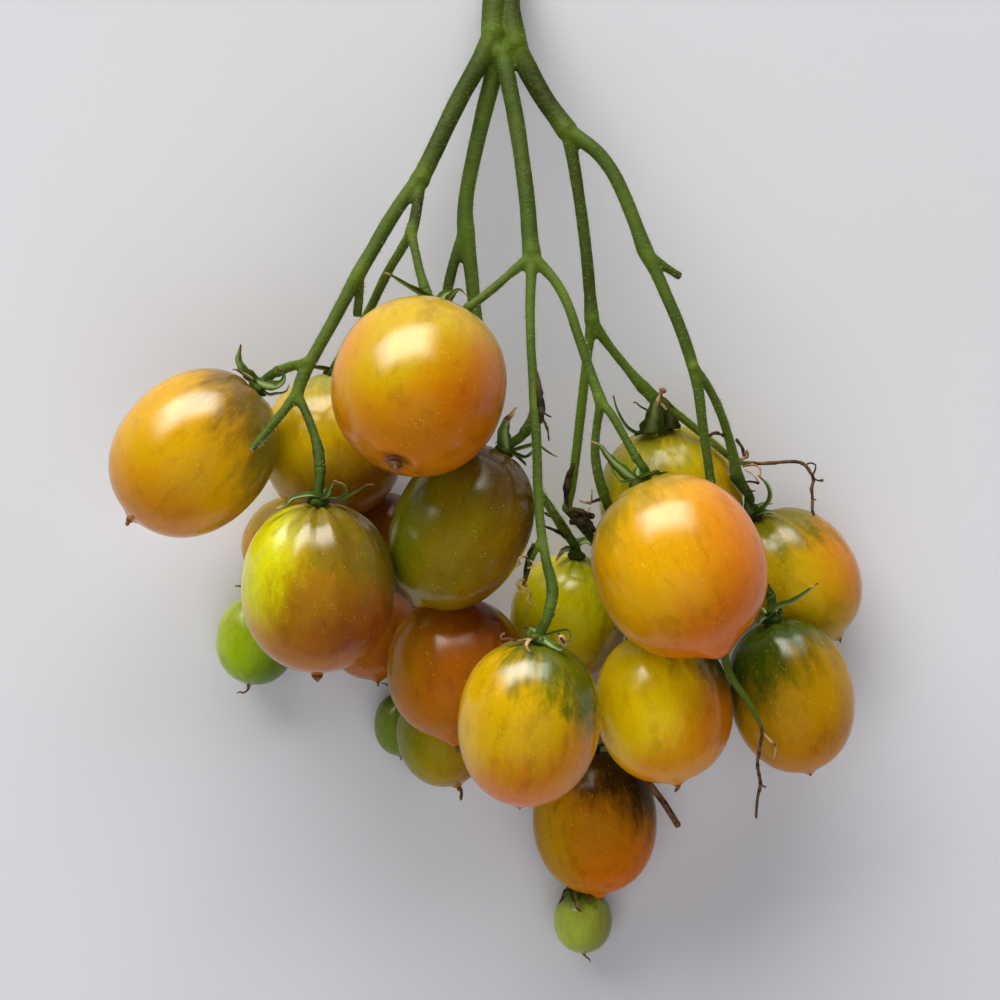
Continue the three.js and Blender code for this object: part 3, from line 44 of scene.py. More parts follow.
FRUITS = [
    dict(id="01", centre=(-17.56, 14.79, 67.83), half_length=22.21, radius=21.24, depth=0.97, egg=0.00, tip=1.5, blossom=(-0.235, -0.827, 0.511)),
    dict(id="02", centre=(-74.12, -1.04, 44.07), half_length=22.39, radius=19.15, depth=0.95, egg=0.00, tip=1.2, blossom=(-0.691, -0.721, 0.050)),
    dict(id="03", centre=(-40.56, 1.03, 24.45), half_length=18.60, radius=18.09, depth=0.93, egg=0.00, tip=1.5, blossom=(0.000, -0.988, 0.154)),
    dict(id="04", centre=(-42.46, -33.92, 60.83), half_length=20.95, radius=19.00, depth=0.93, egg=0.00, tip=1.5, blossom=(-0.010, -0.990, -0.141)),
    dict(id="05", centre=(-7.64, -19.4, 49.51), half_length=21.49, radius=16.92, depth=0.93, egg=0.03, tip=1.8, blossom=(-0.482, -0.863, 0.151)),
    dict(id="06", centre=(45.6, -28.8, 60.76), half_length=22.65, radius=21.07, depth=0.95, egg=0.00, tip=3.0, blossom=(0.417, -0.886, 0.204)),
    dict(id="07", centre=(45.94, -12.47, 17.25), half_length=19.02, radius=18.63, depth=0.93, egg=0.00, tip=1.5, blossom=(0.081, -0.980, -0.182)),
    dict(id="08", centre=(-8.9, -54.78, 38.89), half_length=18.27, radius=17.52, depth=0.82, egg=-0.02, tip=3.0, blossom=(0.041, -0.951, 0.307)),
    dict(id="09", centre=(9.01, -66.72, 65.53), half_length=20.58, radius=17.43, depth=0.95, egg=0.03, tip=1.0, blossom=(-0.110, -0.982, -0.150)),
    dict(id="10", centre=(42.79, -64.25, 41.57), half_length=19.21, radius=17.34, depth=0.92, egg=0.00, tip=1.5, blossom=(0.172, -0.973, 0.152)),
    dict(id="11", centre=(75.38, -62.16, 32.9), half_length=19.67, radius=15.89, depth=0.90, egg=0.04, tip=1.2, blossom=(0.243, -0.970, 0.000)),
    dict(id="12", centre=(78.6, -32.59, 14.3), half_length=18.57, radius=15.73, depth=0.92, egg=0.03, tip=1.5, blossom=(0.563, -0.825, 0.050)),
    dict(id="13", centre=(19.79, -42.64, 14.53), half_length=15.99, radius=15.34, depth=0.95, egg=0.00, tip=1.2, blossom=(-0.104, -0.968, -0.229)),
    dict(id="14", centre=(26.47, -95.69, 15.24), half_length=18.55, radius=16.23, depth=0.95, egg=0.03, tip=1.5, blossom=(0.061, -0.997, 0.051)),
    dict(id="15", centre=(23.58, -122.21, 7.41), half_length=8.32, radius=7.67, depth=1.00, egg=0.04, tip=0.8, blossom=(0.020, -0.999, -0.050)),
    dict(id="16", centre=(-61.02, -49.03, 9.85), half_length=11.67, radius=10.63, depth=0.95, egg=0.02, tip=0.8, blossom=(-0.186, -0.981, -0.052)),
    dict(id="17", centre=(-30.89, -46.9, 11.1), half_length=12.43, radius=11.91, depth=0.95, egg=0.00, tip=1.2, blossom=(0.104, -0.989, 0.104)),
    dict(id="18", centre=(-23.79, -71.07, 6.08), half_length=8.34, radius=7.03, depth=0.90, egg=0.00, tip=0.6, blossom=(0.000, -1.000, 0.000)),
    dict(id="19", centre=(-12.87, -73.45, 19.83), half_length=12.81, radius=11.53, depth=0.86, egg=0.00, tip=1.5, blossom=(0.307, -0.952, 0.000)),
    dict(id="20", centre=(-52.9, -24.12, 11.1), half_length=12.17, radius=11.91, depth=0.95, egg=0.00, tip=1.0, blossom=(-0.527, -0.843, 0.105)),
    dict(id="21", centre=(-27.83, -21.28, 9.72), half_length=10.63, radius=10.37, depth=0.95, egg=0.00, tip=1.0, blossom=(0.212, -0.954, 0.212)),
]
BRANCHES = {
    "stalk_l": [(2.78, 129.82, 2.6, 3.14), (1.21, 122.68, 6.3, 3.12), (0.44, 114.21, 10.69, 3.11), (0.19, 107.2, 14.38, 3.09), (0.97, 101.55, 18, 2.7)],
    "stalk_r": [(5.66, 129.88, 2.2, 2.62), (4.86, 122.71, 6.1, 2.6), (4.84, 114.23, 10.51, 2.59), (5.6, 107.99, 14.3, 2.84), (6.87, 102.32, 18, 2.82)],
    "left_main": [(0.19, 106.97, 16, 2.83), (-3.13, 99.53, 19.6, 2.56), (-7.45, 91.39, 23.2, 2.42), (-11.47, 82.81, 26.8, 2.29), (-14.96, 74.8, 30.4, 2.28), (-18.16, 67.87, 34, 2.39)],
    "left_outer": [(-18.16, 67.87, 34, 2.39), (-22.12, 62.88, 36.13, 1.95), (-26.32, 56.17, 38.27, 1.88), (-29.99, 49.49, 40.41, 1.87), (-33.15, 43.85, 42.54, 1.99), (-36.29, 37.74, 44.61, 1.68), (-39.91, 30.67, 46.6, 1.61), (-43.28, 24.38, 48.49, 1.61), (-46.39, 18.37, 50.27, 1.73), (-48.01, 13.38, 52, 1.54)],
    "left_stub_long": [(-48.01, 13.38, 52, 1.48), (-51.3, 8.89, 54.28, 1.17), (-55.06, 4.17, 56.59, 1.1), (-59.04, -0.76, 58.95, 1.04)],
    "to_04": [(-48.01, 13.38, 52, 1.35), (-45.64, 8.63, 54.5, 1.17), (-43.53, 3.43, 57, 1.16), (-42.29, -1.01, 59.5, 1.52), (-41.78, -5.43, 62, 1.46)],
    "to_02": [(-46.16, 20.85, 50, 1.48), (-49.49, 20.44, 48, 1.24), (-52.85, 19.29, 46, 1.46)],
    "left_stub_short": [(-33.13, 43.81, 43, 1.49), (-33.17, 38.15, 42, 1.18), (-33.71, 32.97, 41, 1.19)],
    "left_inner": [(-18.16, 67.87, 34, 1.76), (-18.58, 62.55, 37, 1.44), (-19.26, 57.77, 40, 1.5), (-20.17, 53.78, 43, 1.62)],
    "to_01": [(-20.17, 53.78, 43, 1.37), (-19.1, 49.31, 46, 1.18), (-17.78, 43.64, 49, 1.17), (-16.23, 38.5, 52, 1.46)],
    "to_03": [(-20.17, 53.78, 43, 1.37), (-22.76, 49.78, 39.86, 1.25), (-25.87, 45.01, 36.69, 1.26), (-28.5, 40.2, 33.47, 1.26), (-30.65, 36.11, 30.19, 1.27), (-34.59, 29.45, 26.86, 1.21), (-38.06, 24.52, 23.5, 1.46)],
    "rear_main": [(1.22, 101.05, 16, 2.57), (-0.32, 93.94, 17.25, 2.31), (-1.86, 87.88, 18.48, 2.31), (-3.65, 80.05, 19.66, 2.18), (-5.17, 73.01, 20.8, 2.11), (-6.44, 66, 21.89, 2.04), (-6.94, 60.53, 22.95, 2.17), (-6.68, 56.11, 23.98, 2.42), (-5.9, 50.42, 24.99, 1.91), (-5.13, 43.22, 26, 1.84), (-4.36, 35.54, 27, 1.78), (-3.33, 28.37, 28, 1.65)],
    "rear_side": [(-7.18, 54.58, 24, 1.78), (-8.96, 50.45, 24.66, 1.46), (-10.48, 44.8, 25.33, 1.46), (-11.74, 38.9, 26, 1.4)],
    "middle_main": [(2.76, 101.41, 19, 2.31), (4.04, 94.53, 22.6, 2.23), (6.06, 83.89, 26.18, 2.16), (7.56, 73.35, 29.73, 2.09), (8.8, 62.9, 33.21, 2.08), (9.52, 53.05, 36.63, 2.13), (9.99, 48.27, 40, 2.5)],
    "middle_left": [(9.99, 48.27, 40, 1.62), (4.49, 43.63, 42, 1.18), (0.75, 40.26, 44, 1.18), (-2.97, 37.15, 46, 1.18), (-5.93, 34.8, 48, 1.18)],
    "to_09": [(9.99, 48.27, 40, 1.62), (9.72, 42.11, 42.47, 1.37), (9.45, 34.48, 44.99, 1.3), (9.67, 25.66, 47.61, 1.24), (10.14, 16.89, 50.34, 1.3), (10.6, 8.18, 53.15, 1.35), (11.06, -0.47, 56.01, 1.23), (11.27, -10.28, 58.89, 1.28), (11.97, -20.02, 61.74, 1.28), (13.14, -27.27, 64.54, 1.27), (14.68, -34.47, 67.29, 1.63), (13.79, -39.69, 70, 1.46)],
    "middle_right": [(9.99, 48.27, 40, 1.75), (15.7, 41.86, 42.42, 1.31), (18.89, 35.74, 44.77, 1.3), (21.32, 28.17, 47.01, 1.3), (23.75, 20.64, 49.11, 1.3), (25.66, 14.89, 51.09, 1.36), (26.84, 11.38, 53, 1.66)],
    "middle_right_low": [(26.84, 11.38, 53, 1.35), (25.91, 5.77, 51.09, 1.17), (25.48, -0.37, 49.13, 1.17), (26.28, -6.28, 47.09, 1.36), (27.83, -11.24, 45, 1.49)],
    "to_06": [(26.84, 11.38, 53, 1.35), (29.23, 8.38, 55, 1.17), (32.34, 2.94, 57, 1.1), (34.95, -1.98, 59, 1.15)],
    "right_main": [(6.1, 103.86, 18, 2.82), (9.68, 96.4, 20, 2.69), (13.49, 89.5, 22, 2.56), (16.78, 84.66, 24, 2.55), (19.29, 80.86, 26, 2.8)],
    "right_inner": [(19.29, 80.86, 26, 2.03), (20.79, 72.37, 27, 1.65), (21.78, 65.92, 28, 1.59), (23.02, 56.96, 29, 1.58), (24.01, 48.01, 30, 1.58), (24.74, 39.09, 31, 1.64), (25.22, 32.21, 32, 2.15)],
    "right_inner_low": [(25.22, 32.21, 32, 1.64), (24.22, 25.16, 31.73, 1.26), (23.21, 16.33, 31.5, 1.26), (22.21, 7.49, 31.3, 1.26), (21.2, -1.35, 31.17, 1.26), (19.94, -10.2, 31.07, 1.26), (18.93, -14.75, 31, 1.2)],
    "right_cross": [(25.22, 32.21, 32, 1.64), (29.79, 25.94, 31.12, 1.2), (34.12, 20.67, 30.3, 1.2), (38.2, 15.89, 29.59, 1.77), (42.53, 12.36, 29.05, 1.27), (47.87, 8.31, 28.7, 1.14), (53.21, 4.01, 28.52, 1.08), (57.52, 0.46, 28.51, 1.01), (61.18, -2.57, 27, 0.95)],
    "right_outer": [(19.29, 80.86, 26, 2.29), (23.05, 78.36, 27.97, 1.97), (26.8, 75.1, 29.92, 1.9), (30.53, 69.85, 31.84, 1.83), (33.74, 62.86, 33.68, 1.83), (36.44, 55.66, 35.43, 1.82), (38.37, 50, 37.07, 2.13), (41.06, 44.38, 38.55, 1.63), (43.75, 38.03, 39.88, 1.56), (46.69, 30.97, 41.03, 1.56), (49.38, 22.94, 41.98, 1.56), (51.33, 15.18, 42.72, 1.43), (52.29, 7.19, 43.28, 1.31), (53.51, -1.53, 43.68, 1.24), (54.73, -10.24, 44, 1.24)],
    "right_stub": [(39.59, 48.42, 38, 1.38), (44.15, 45.24, 37, 1.07), (47.47, 43.3, 36, 1.07)],
    "to_12": [(50.31, 20.15, 43, 1.37), (54.01, 15.53, 39.76, 1.19), (56.97, 10.12, 36.69, 1.19), (59.17, 4.4, 33.92, 1.26), (60.86, -1.36, 31.47, 1.39), (61.78, -6.14, 29.24, 1.78)],
    "to_05": [(10.49, 10.67, 52, 1.11), (9.88, 7.5, 51, 1.11), (8.41, 4.56, 50, 1.46)],
    "to_13": [(11.27, -10.28, 59, 1.1), (13.13, -12.73, 48.03, 1.11), (15.79, -16.49, 37.03, 1.19), (18.78, -21.12, 26, 1.46)],
    "dry_bud": [(11.22, -23.66, 63, 0.97), (9.3, -27.83, 60.5, 0.85), (8.1, -32.77, 58, 0.61)],
    "to_07": [(38.23, 15.91, 29, 1.65), (39.98, 13.74, 29.5, 1.39), (41.73, 11.57, 30, 1.46)],
    "dry_tip_front": [(54.73, -10.24, 44, 1.24), (57.25, -17.76, 42.6, 1.18), (58.95, -25.81, 42.3, 1.18), (59.18, -35.07, 43.1, 1.12), (58.39, -43.56, 45, 1.12), (57.64, -49.74, 46.98, 1.12), (58.22, -54.18, 48.7, 1.05), (59.84, -57.64, 49.36, 0.99), (61.8, -60.45, 49.57, 0.89), (63.97, -63.65, 49.46, 0.74), (65.73, -67.08, 48.96, 0.68), (66.93, -70.2, 47.95, 0.62), (66.48, -73.83, 46.33, 0.6), (66.16, -78.54, 42.87, 0.6), (67.25, -83.83, 37.96, 0.58), (66.89, -88.46, 32.58, 0.57), (66.94, -93.4, 28, 0.53)],
    "dry_tip_right": [(61.18, -2.57, 27, 0.89), (63.56, -3.28, 27.5, 0.7), (67.24, -3.44, 27.98, 0.58), (71.42, -3.32, 28.29, 0.58), (74.93, -3, 28.48, 0.58), (77.51, -3.06, 28.46, 0.58), (79.54, -3.93, 28.04, 0.58), (80.64, -5.63, 27.96, 0.58), (81.64, -7.46, 27.5, 0.58), (81.09, -9.95, 27.02, 0.56), (81.45, -12.66, 26.79, 0.56), (81.27, -14.76, 26.48, 0.56), (81.85, -16.8, 26, 0.56)],
    "inner_to_20": [(-11.74, 38.9, 26, 1.3), (-13.96, 35.55, 24.06, 1.25), (-16.17, 32.2, 22.12, 1.25), (-18.38, 28.85, 20.19, 1.25), (-20.58, 25.49, 18.27, 1.25), (-22.77, 22.13, 16.36, 1.25), (-24.95, 18.75, 14.46, 1.25), (-27.11, 15.38, 12.58, 1.25), (-29.25, 12, 10.7, 1.25), (-31.36, 8.61, 8.8, 1.25), (-33.53, 5.18, 7.04, 1.25), (-36, 1.62, 6.16, 1.25), (-38.63, -1.92, 6.1, 1.25), (-41.33, -5.35, 6.78, 1.25), (-44.01, -8.73, 7.6, 1.46)],
    "inner_to_16": [(-41.33, -5.33, 6.82, 1.3), (-41.42, -9.19, 8.28, 1.25), (-41.47, -12.68, 10.49, 1.25), (-41.49, -15.62, 13.39, 1.25), (-41.47, -18.14, 16.65, 1.25), (-42.33, -21.14, 19.43, 1.25), (-44.17, -24.37, 21.35, 1.25), (-46.7, -27.52, 22.4, 1.25), (-49.7, -30.45, 22.61, 1.25), (-53.05, -32.87, 21.77, 1.25), (-56.44, -34.5, 19.83, 1.25), (-59.5, -35.08, 16.95, 1.25), (-62.01, -34.73, 13.6, 1.46)],
    "inner_to_21": [(-5.93, 34.8, 48, 1.3), (-7.55, 32.01, 44.83, 1.25), (-9.18, 29.21, 41.67, 1.25), (-10.82, 26.42, 38.51, 1.25), (-12.48, 23.62, 35.36, 1.25), (-14.15, 20.82, 32.21, 1.25), (-15.85, 18.01, 29.06, 1.25), (-17.57, 15.2, 25.92, 1.25), (-19.3, 12.39, 22.79, 1.25), (-21.05, 9.57, 19.65, 1.25), (-22.81, 6.76, 16.51, 1.25), (-24.56, 3.94, 13.35, 1.25), (-26.99, 1.04, 10.7, 1.25), (-29.51, -1.84, 8.16, 1.25), (-32.01, -4.73, 5.6, 1.46)],
    "inner_to_17": [(-29.51, -1.84, 8.17, 1.3), (-31.97, -5.54, 7.82, 1.25), (-34.43, -9.22, 7.48, 1.25), (-36.91, -12.89, 7.12, 1.25), (-39.16, -16.77, 6.8, 1.25), (-39.77, -21.16, 6.75, 1.25), (-39.05, -25.63, 7.57, 1.25), (-37.01, -29.59, 8.52, 1.46)],
    "inner_to_08": [(-3.33, 28.37, 28, 1.3), (-3.78, 23.67, 28.23, 1.25), (-4.24, 18.97, 28.47, 1.25), (-4.7, 14.27, 28.7, 1.25), (-5.17, 9.57, 28.95, 1.25), (-5.65, 4.87, 29.21, 1.25), (-6.15, 0.17, 29.47, 1.25), (-6.66, -4.53, 29.75, 1.25), (-7.19, -9.23, 30.04, 1.25), (-7.71, -13.63, 30.27, 1.25), (-8.25, -18.03, 30.52, 1.25), (-8.8, -22.43, 30.77, 1.25), (-9.35, -26.83, 31.03, 1.25), (-9.91, -31.22, 31.29, 1.46)],
    "inner_to_19": [(-9.43, -28.03, 31.28, 1.3), (-10.65, -31.84, 29.61, 1.25), (-11.88, -35.66, 27.94, 1.25), (-13.1, -39.47, 26.27, 1.25), (-14.33, -43.28, 24.6, 1.25), (-15.56, -47.1, 22.94, 1.25), (-16.78, -50.91, 21.27, 1.25), (-18.01, -54.73, 19.6, 1.46)],
    "inner_to_18": [(-16.78, -50.91, 21.27, 1.3), (-17.93, -52.74, 18.13, 1.25), (-19.08, -54.58, 14.98, 1.25), (-20.21, -56.43, 11.84, 1.25), (-21.92, -57.8, 8.66, 1.46)],
    "inner_to_14": [(18.93, -14.75, 31, 1.3), (21.38, -17.73, 31.1, 1.25), (23.87, -20.67, 31.35, 1.25), (26.3, -23.64, 31.77, 1.25), (28.51, -26.76, 32.26, 1.25), (30.38, -30.11, 32.69, 1.25), (31.91, -33.65, 32.94, 1.25), (33.16, -37.29, 32.88, 1.25), (34.14, -40.92, 32.41, 1.25), (34.76, -44.47, 31.41, 1.25), (34.93, -47.91, 29.95, 1.25), (34.6, -51.26, 28.2, 1.25), (33.79, -54.53, 26.34, 1.25), (32.57, -57.65, 24.41, 1.25), (31, -60.53, 22.37, 1.25), (29.11, -63.1, 20.2, 1.25), (26.99, -65.33, 17.88, 1.25), (24.72, -67.33, 15.47, 1.25), (23.99, -70.73, 13.6, 1.46)],
    "inner_to_15": [(24.72, -67.33, 15.47, 1.3), (23.07, -70.55, 13.04, 1.25), (21.47, -73.74, 10.66, 1.25), (19.87, -76.93, 8.28, 1.25), (18.26, -80.1, 5.88, 1.25), (16.81, -83.52, 3.68, 1.25), (15.91, -87.49, 2.22, 1.25), (15.44, -91.73, 1.55, 1.25), (15.45, -96.13, 1.55, 1.25), (16.55, -100.46, 1.55, 1.25), (18.79, -104.28, 1.55, 1.25), (21.34, -107.67, 2.25, 1.25), (23.99, -110.73, 3.6, 1.46)],
    "inner_to_10": [(27.83, -11.24, 45, 1.3), (29.14, -14.91, 43.69, 1.25), (30.45, -18.59, 42.39, 1.25), (31.75, -22.27, 41.08, 1.25), (32.76, -25.66, 39.82, 1.25), (34.11, -29.06, 39.18, 1.25), (35.53, -32.45, 38.67, 1.25), (36.94, -35.84, 38.16, 1.25), (38.36, -39.23, 37.66, 1.46)],
    "inner_to_11": [(54.73, -10.24, 44, 1.3), (56.63, -13.55, 42.7, 1.25), (58.53, -16.87, 41.4, 1.25), (60.44, -20.18, 40.1, 1.25), (62.35, -23.5, 38.8, 1.25), (64.25, -26.81, 37.5, 1.25), (66.17, -30.11, 36.2, 1.25), (68.08, -33.42, 34.9, 1.25), (69.99, -36.73, 33.6, 1.46)],
    "inner_stub": [(24.72, -67.33, 15.47, 1.1), (27.1, -70.03, 16.92, 1.1), (29.48, -72.74, 18.34, 1.09), (31.87, -75.45, 19.7, 1.06), (34.27, -78.18, 20.98, 1.04), (36.7, -80.89, 22.18, 1.01), (38.97, -83.81, 23.18, 1), (41.27, -86.71, 24.13, 0.99), (43.57, -89.61, 25.06, 0.95), (45.63, -92.9, 24.04, 0.93), (47.68, -96.19, 23, 0.9)],
}
PEDICELS = {
    "01": [(-16.14, 38.21, 52.17, 1.34), (-15.46, 37.12, 52.94, 1.21), (-14.37, 36.2, 53.81, 1.2), (-13.23, 35.33, 54.71, 1.2), (-12.42, 34.41, 55.6, 1.3), (-12.3, 33.33, 56.39, 1.5)],
    "02": [(-53.14, 19.19, 45.83, 1.34), (-54.28, 18.68, 45.08, 1.21), (-55.39, 18, 44.28, 1.2), (-56.48, 17.17, 43.57, 1.2), (-57.52, 16.24, 43.08, 1.3), (-58.51, 15.25, 42.94, 1.5)],
    "03": [(-38.23, 24.27, 23.33, 1.34), (-38.82, 23.46, 22.78, 1.21), (-39.44, 22.58, 22.24, 1.2), (-40, 21.65, 21.8, 1.2), (-40.4, 20.65, 21.54, 1.3), (-40.56, 19.61, 21.55, 1.5)],
    "04": [(-41.75, -5.73, 62.17, 1.34), (-41.71, -7.05, 62.82, 1.21), (-41.82, -8.5, 63.35, 1.2), (-41.99, -10, 63.71, 1.2), (-42.16, -11.52, 63.87, 1.3), (-42.25, -12.98, 63.8, 1.5)],
    "05": [(8.26, 4.26, 49.9, 1.34), (7.39, 3.11, 49.19, 1.21), (6.22, 2.21, 48.17, 1.2), (4.95, 1.4, 47.14, 1.2), (3.75, 0.49, 46.4, 1.3), (2.81, -0.67, 46.24, 1.5)],
    "06": [(35.11, -2.28, 59.12, 1.12), (36.6, -4.2, 59, 1.1), (37.7, -6, 57.8, 1.1), (37.9, -7.3, 56.4, 1.15), (37.2, -8.2, 55.8, 1.25), (36.06, -8.56, 56.11, 1.4)],
    "07": [(41.94, 11.3, 30.06, 1.34), (42.96, 10.12, 29.38, 1.21), (43.61, 9.4, 27.21, 1.2), (44, 8.78, 24.45, 1.2), (44.23, 7.89, 22, 1.3), (44.39, 6.37, 20.74, 1.5)],
    "08": [(-9.95, -31.57, 31.31, 1.34), (-10.02, -32.72, 31.5, 1.21), (-9.98, -33.86, 31.86, 1.2), (-9.86, -34.98, 32.33, 1.2), (-9.74, -36.1, 32.81, 1.3), (-9.65, -37.22, 33.23, 1.5)],
    "09": [(13.74, -40, 70.16, 1.34), (13.38, -41.19, 70.42, 1.21), (12.81, -42.43, 70.16, 1.2), (12.17, -43.7, 69.62, 1.2), (11.62, -45, 69.04, 1.3), (11.31, -46.3, 68.65, 1.5)],
    "10": [(38.49, -39.55, 37.61, 1.34), (38.84, -40.65, 37.58, 1.21), (39.05, -41.82, 37.76, 1.2), (39.18, -43.01, 38.05, 1.2), (39.29, -44.2, 38.37, 1.3), (39.44, -45.36, 38.61, 1.5)],
    "11": [(70.16, -37.01, 33.49, 1.34), (70.51, -38.05, 33.19, 1.21), (70.56, -39.22, 33.01, 1.2), (70.48, -40.46, 32.93, 1.2), (70.43, -41.7, 32.9, 1.3), (70.56, -42.88, 32.9, 1.5)],
    "12": [(61.84, -6.45, 29.09, 1.64), (63.47, -9.05, 27.02, 1.47), (65.25, -11.02, 22.95, 1.2), (66.23, -12.73, 18.12, 1.2), (66.16, -14.58, 14.63, 1.3), (68.03, -17.11, 13.36, 1.5)],
    "13": [(18.86, -21.25, 25.69, 1.34), (19.45, -22, 23.92, 1.21), (20.19, -22.91, 22.08, 1.2), (20.9, -24.01, 20.37, 1.2), (21.39, -25.35, 19.01, 1.3), (21.47, -26.97, 18.23, 1.5)],
    "14": [(23.93, -71.03, 13.43, 1.34), (23.92, -72.12, 13.15, 1.21), (24.23, -73.3, 13.3, 1.2), (24.67, -74.53, 13.67, 1.2), (25.1, -75.78, 14.07, 1.3), (25.32, -77, 14.29, 1.5)],
    "15": [(24.21, -110.98, 3.71, 1.14), (24.51, -111.55, 4.34, 1.03), (24.35, -111.97, 5.4, 1.02), (23.9, -112.46, 6.31, 1.02), (23.57, -112.92, 7.49, 1.1), (23.41, -113.7, 7.84, 1.27)],
    "16": [(-62.22, -34.7, 13.32, 1.34), (-62.2, -34.78, 12.54, 1.21), (-61.34, -35.14, 11.79, 1.2), (-60.32, -35.79, 11.17, 1.2), (-59.14, -36.49, 10.67, 1.3), (-58.81, -37.38, 10.46, 1.5)],
    "17": [(-36.86, -29.89, 8.6, 1.34), (-36.03, -30.87, 8.87, 1.21), (-34.87, -31.67, 9.15, 1.2), (-33.66, -32.44, 9.4, 1.2), (-32.68, -33.31, 9.62, 1.3), (-32.2, -34.41, 9.79, 1.5)],
    "18": [(-22.07, -57.92, 8.37, 1.14), (-22.55, -58.47, 7.57, 1.03), (-23.02, -59.31, 6.94, 1.02), (-23.41, -60.33, 6.47, 1.02), (-23.69, -61.44, 6.18, 1.1), (-23.79, -62.54, 6.08, 1.27)],
    "19": [(-18.11, -55.03, 19.47, 1.34), (-18.25, -56.15, 19.21, 1.21), (-18.09, -57.37, 19.26, 1.2), (-17.73, -58.63, 19.48, 1.2), (-17.28, -59.88, 19.72, 1.3), (-16.86, -61.07, 19.83, 1.5)],
    "20": [(-44.22, -9, 7.67, 1.34), (-44.78, -9.88, 8, 1.21), (-45.19, -10.81, 8.51, 1.2), (-45.52, -11.77, 9.06, 1.2), (-45.89, -12.74, 9.53, 1.3), (-46.38, -13.69, 9.8, 1.5)],
    "21": [(-32.2, -4.95, 5.41, 1.34), (-32.46, -5.88, 5.13, 1.21), (-32.09, -7.05, 5.48, 1.2), (-31.37, -8.35, 6.18, 1.2), (-30.62, -9.69, 6.93, 1.3), (-30.13, -10.95, 7.42, 1.5)],
}
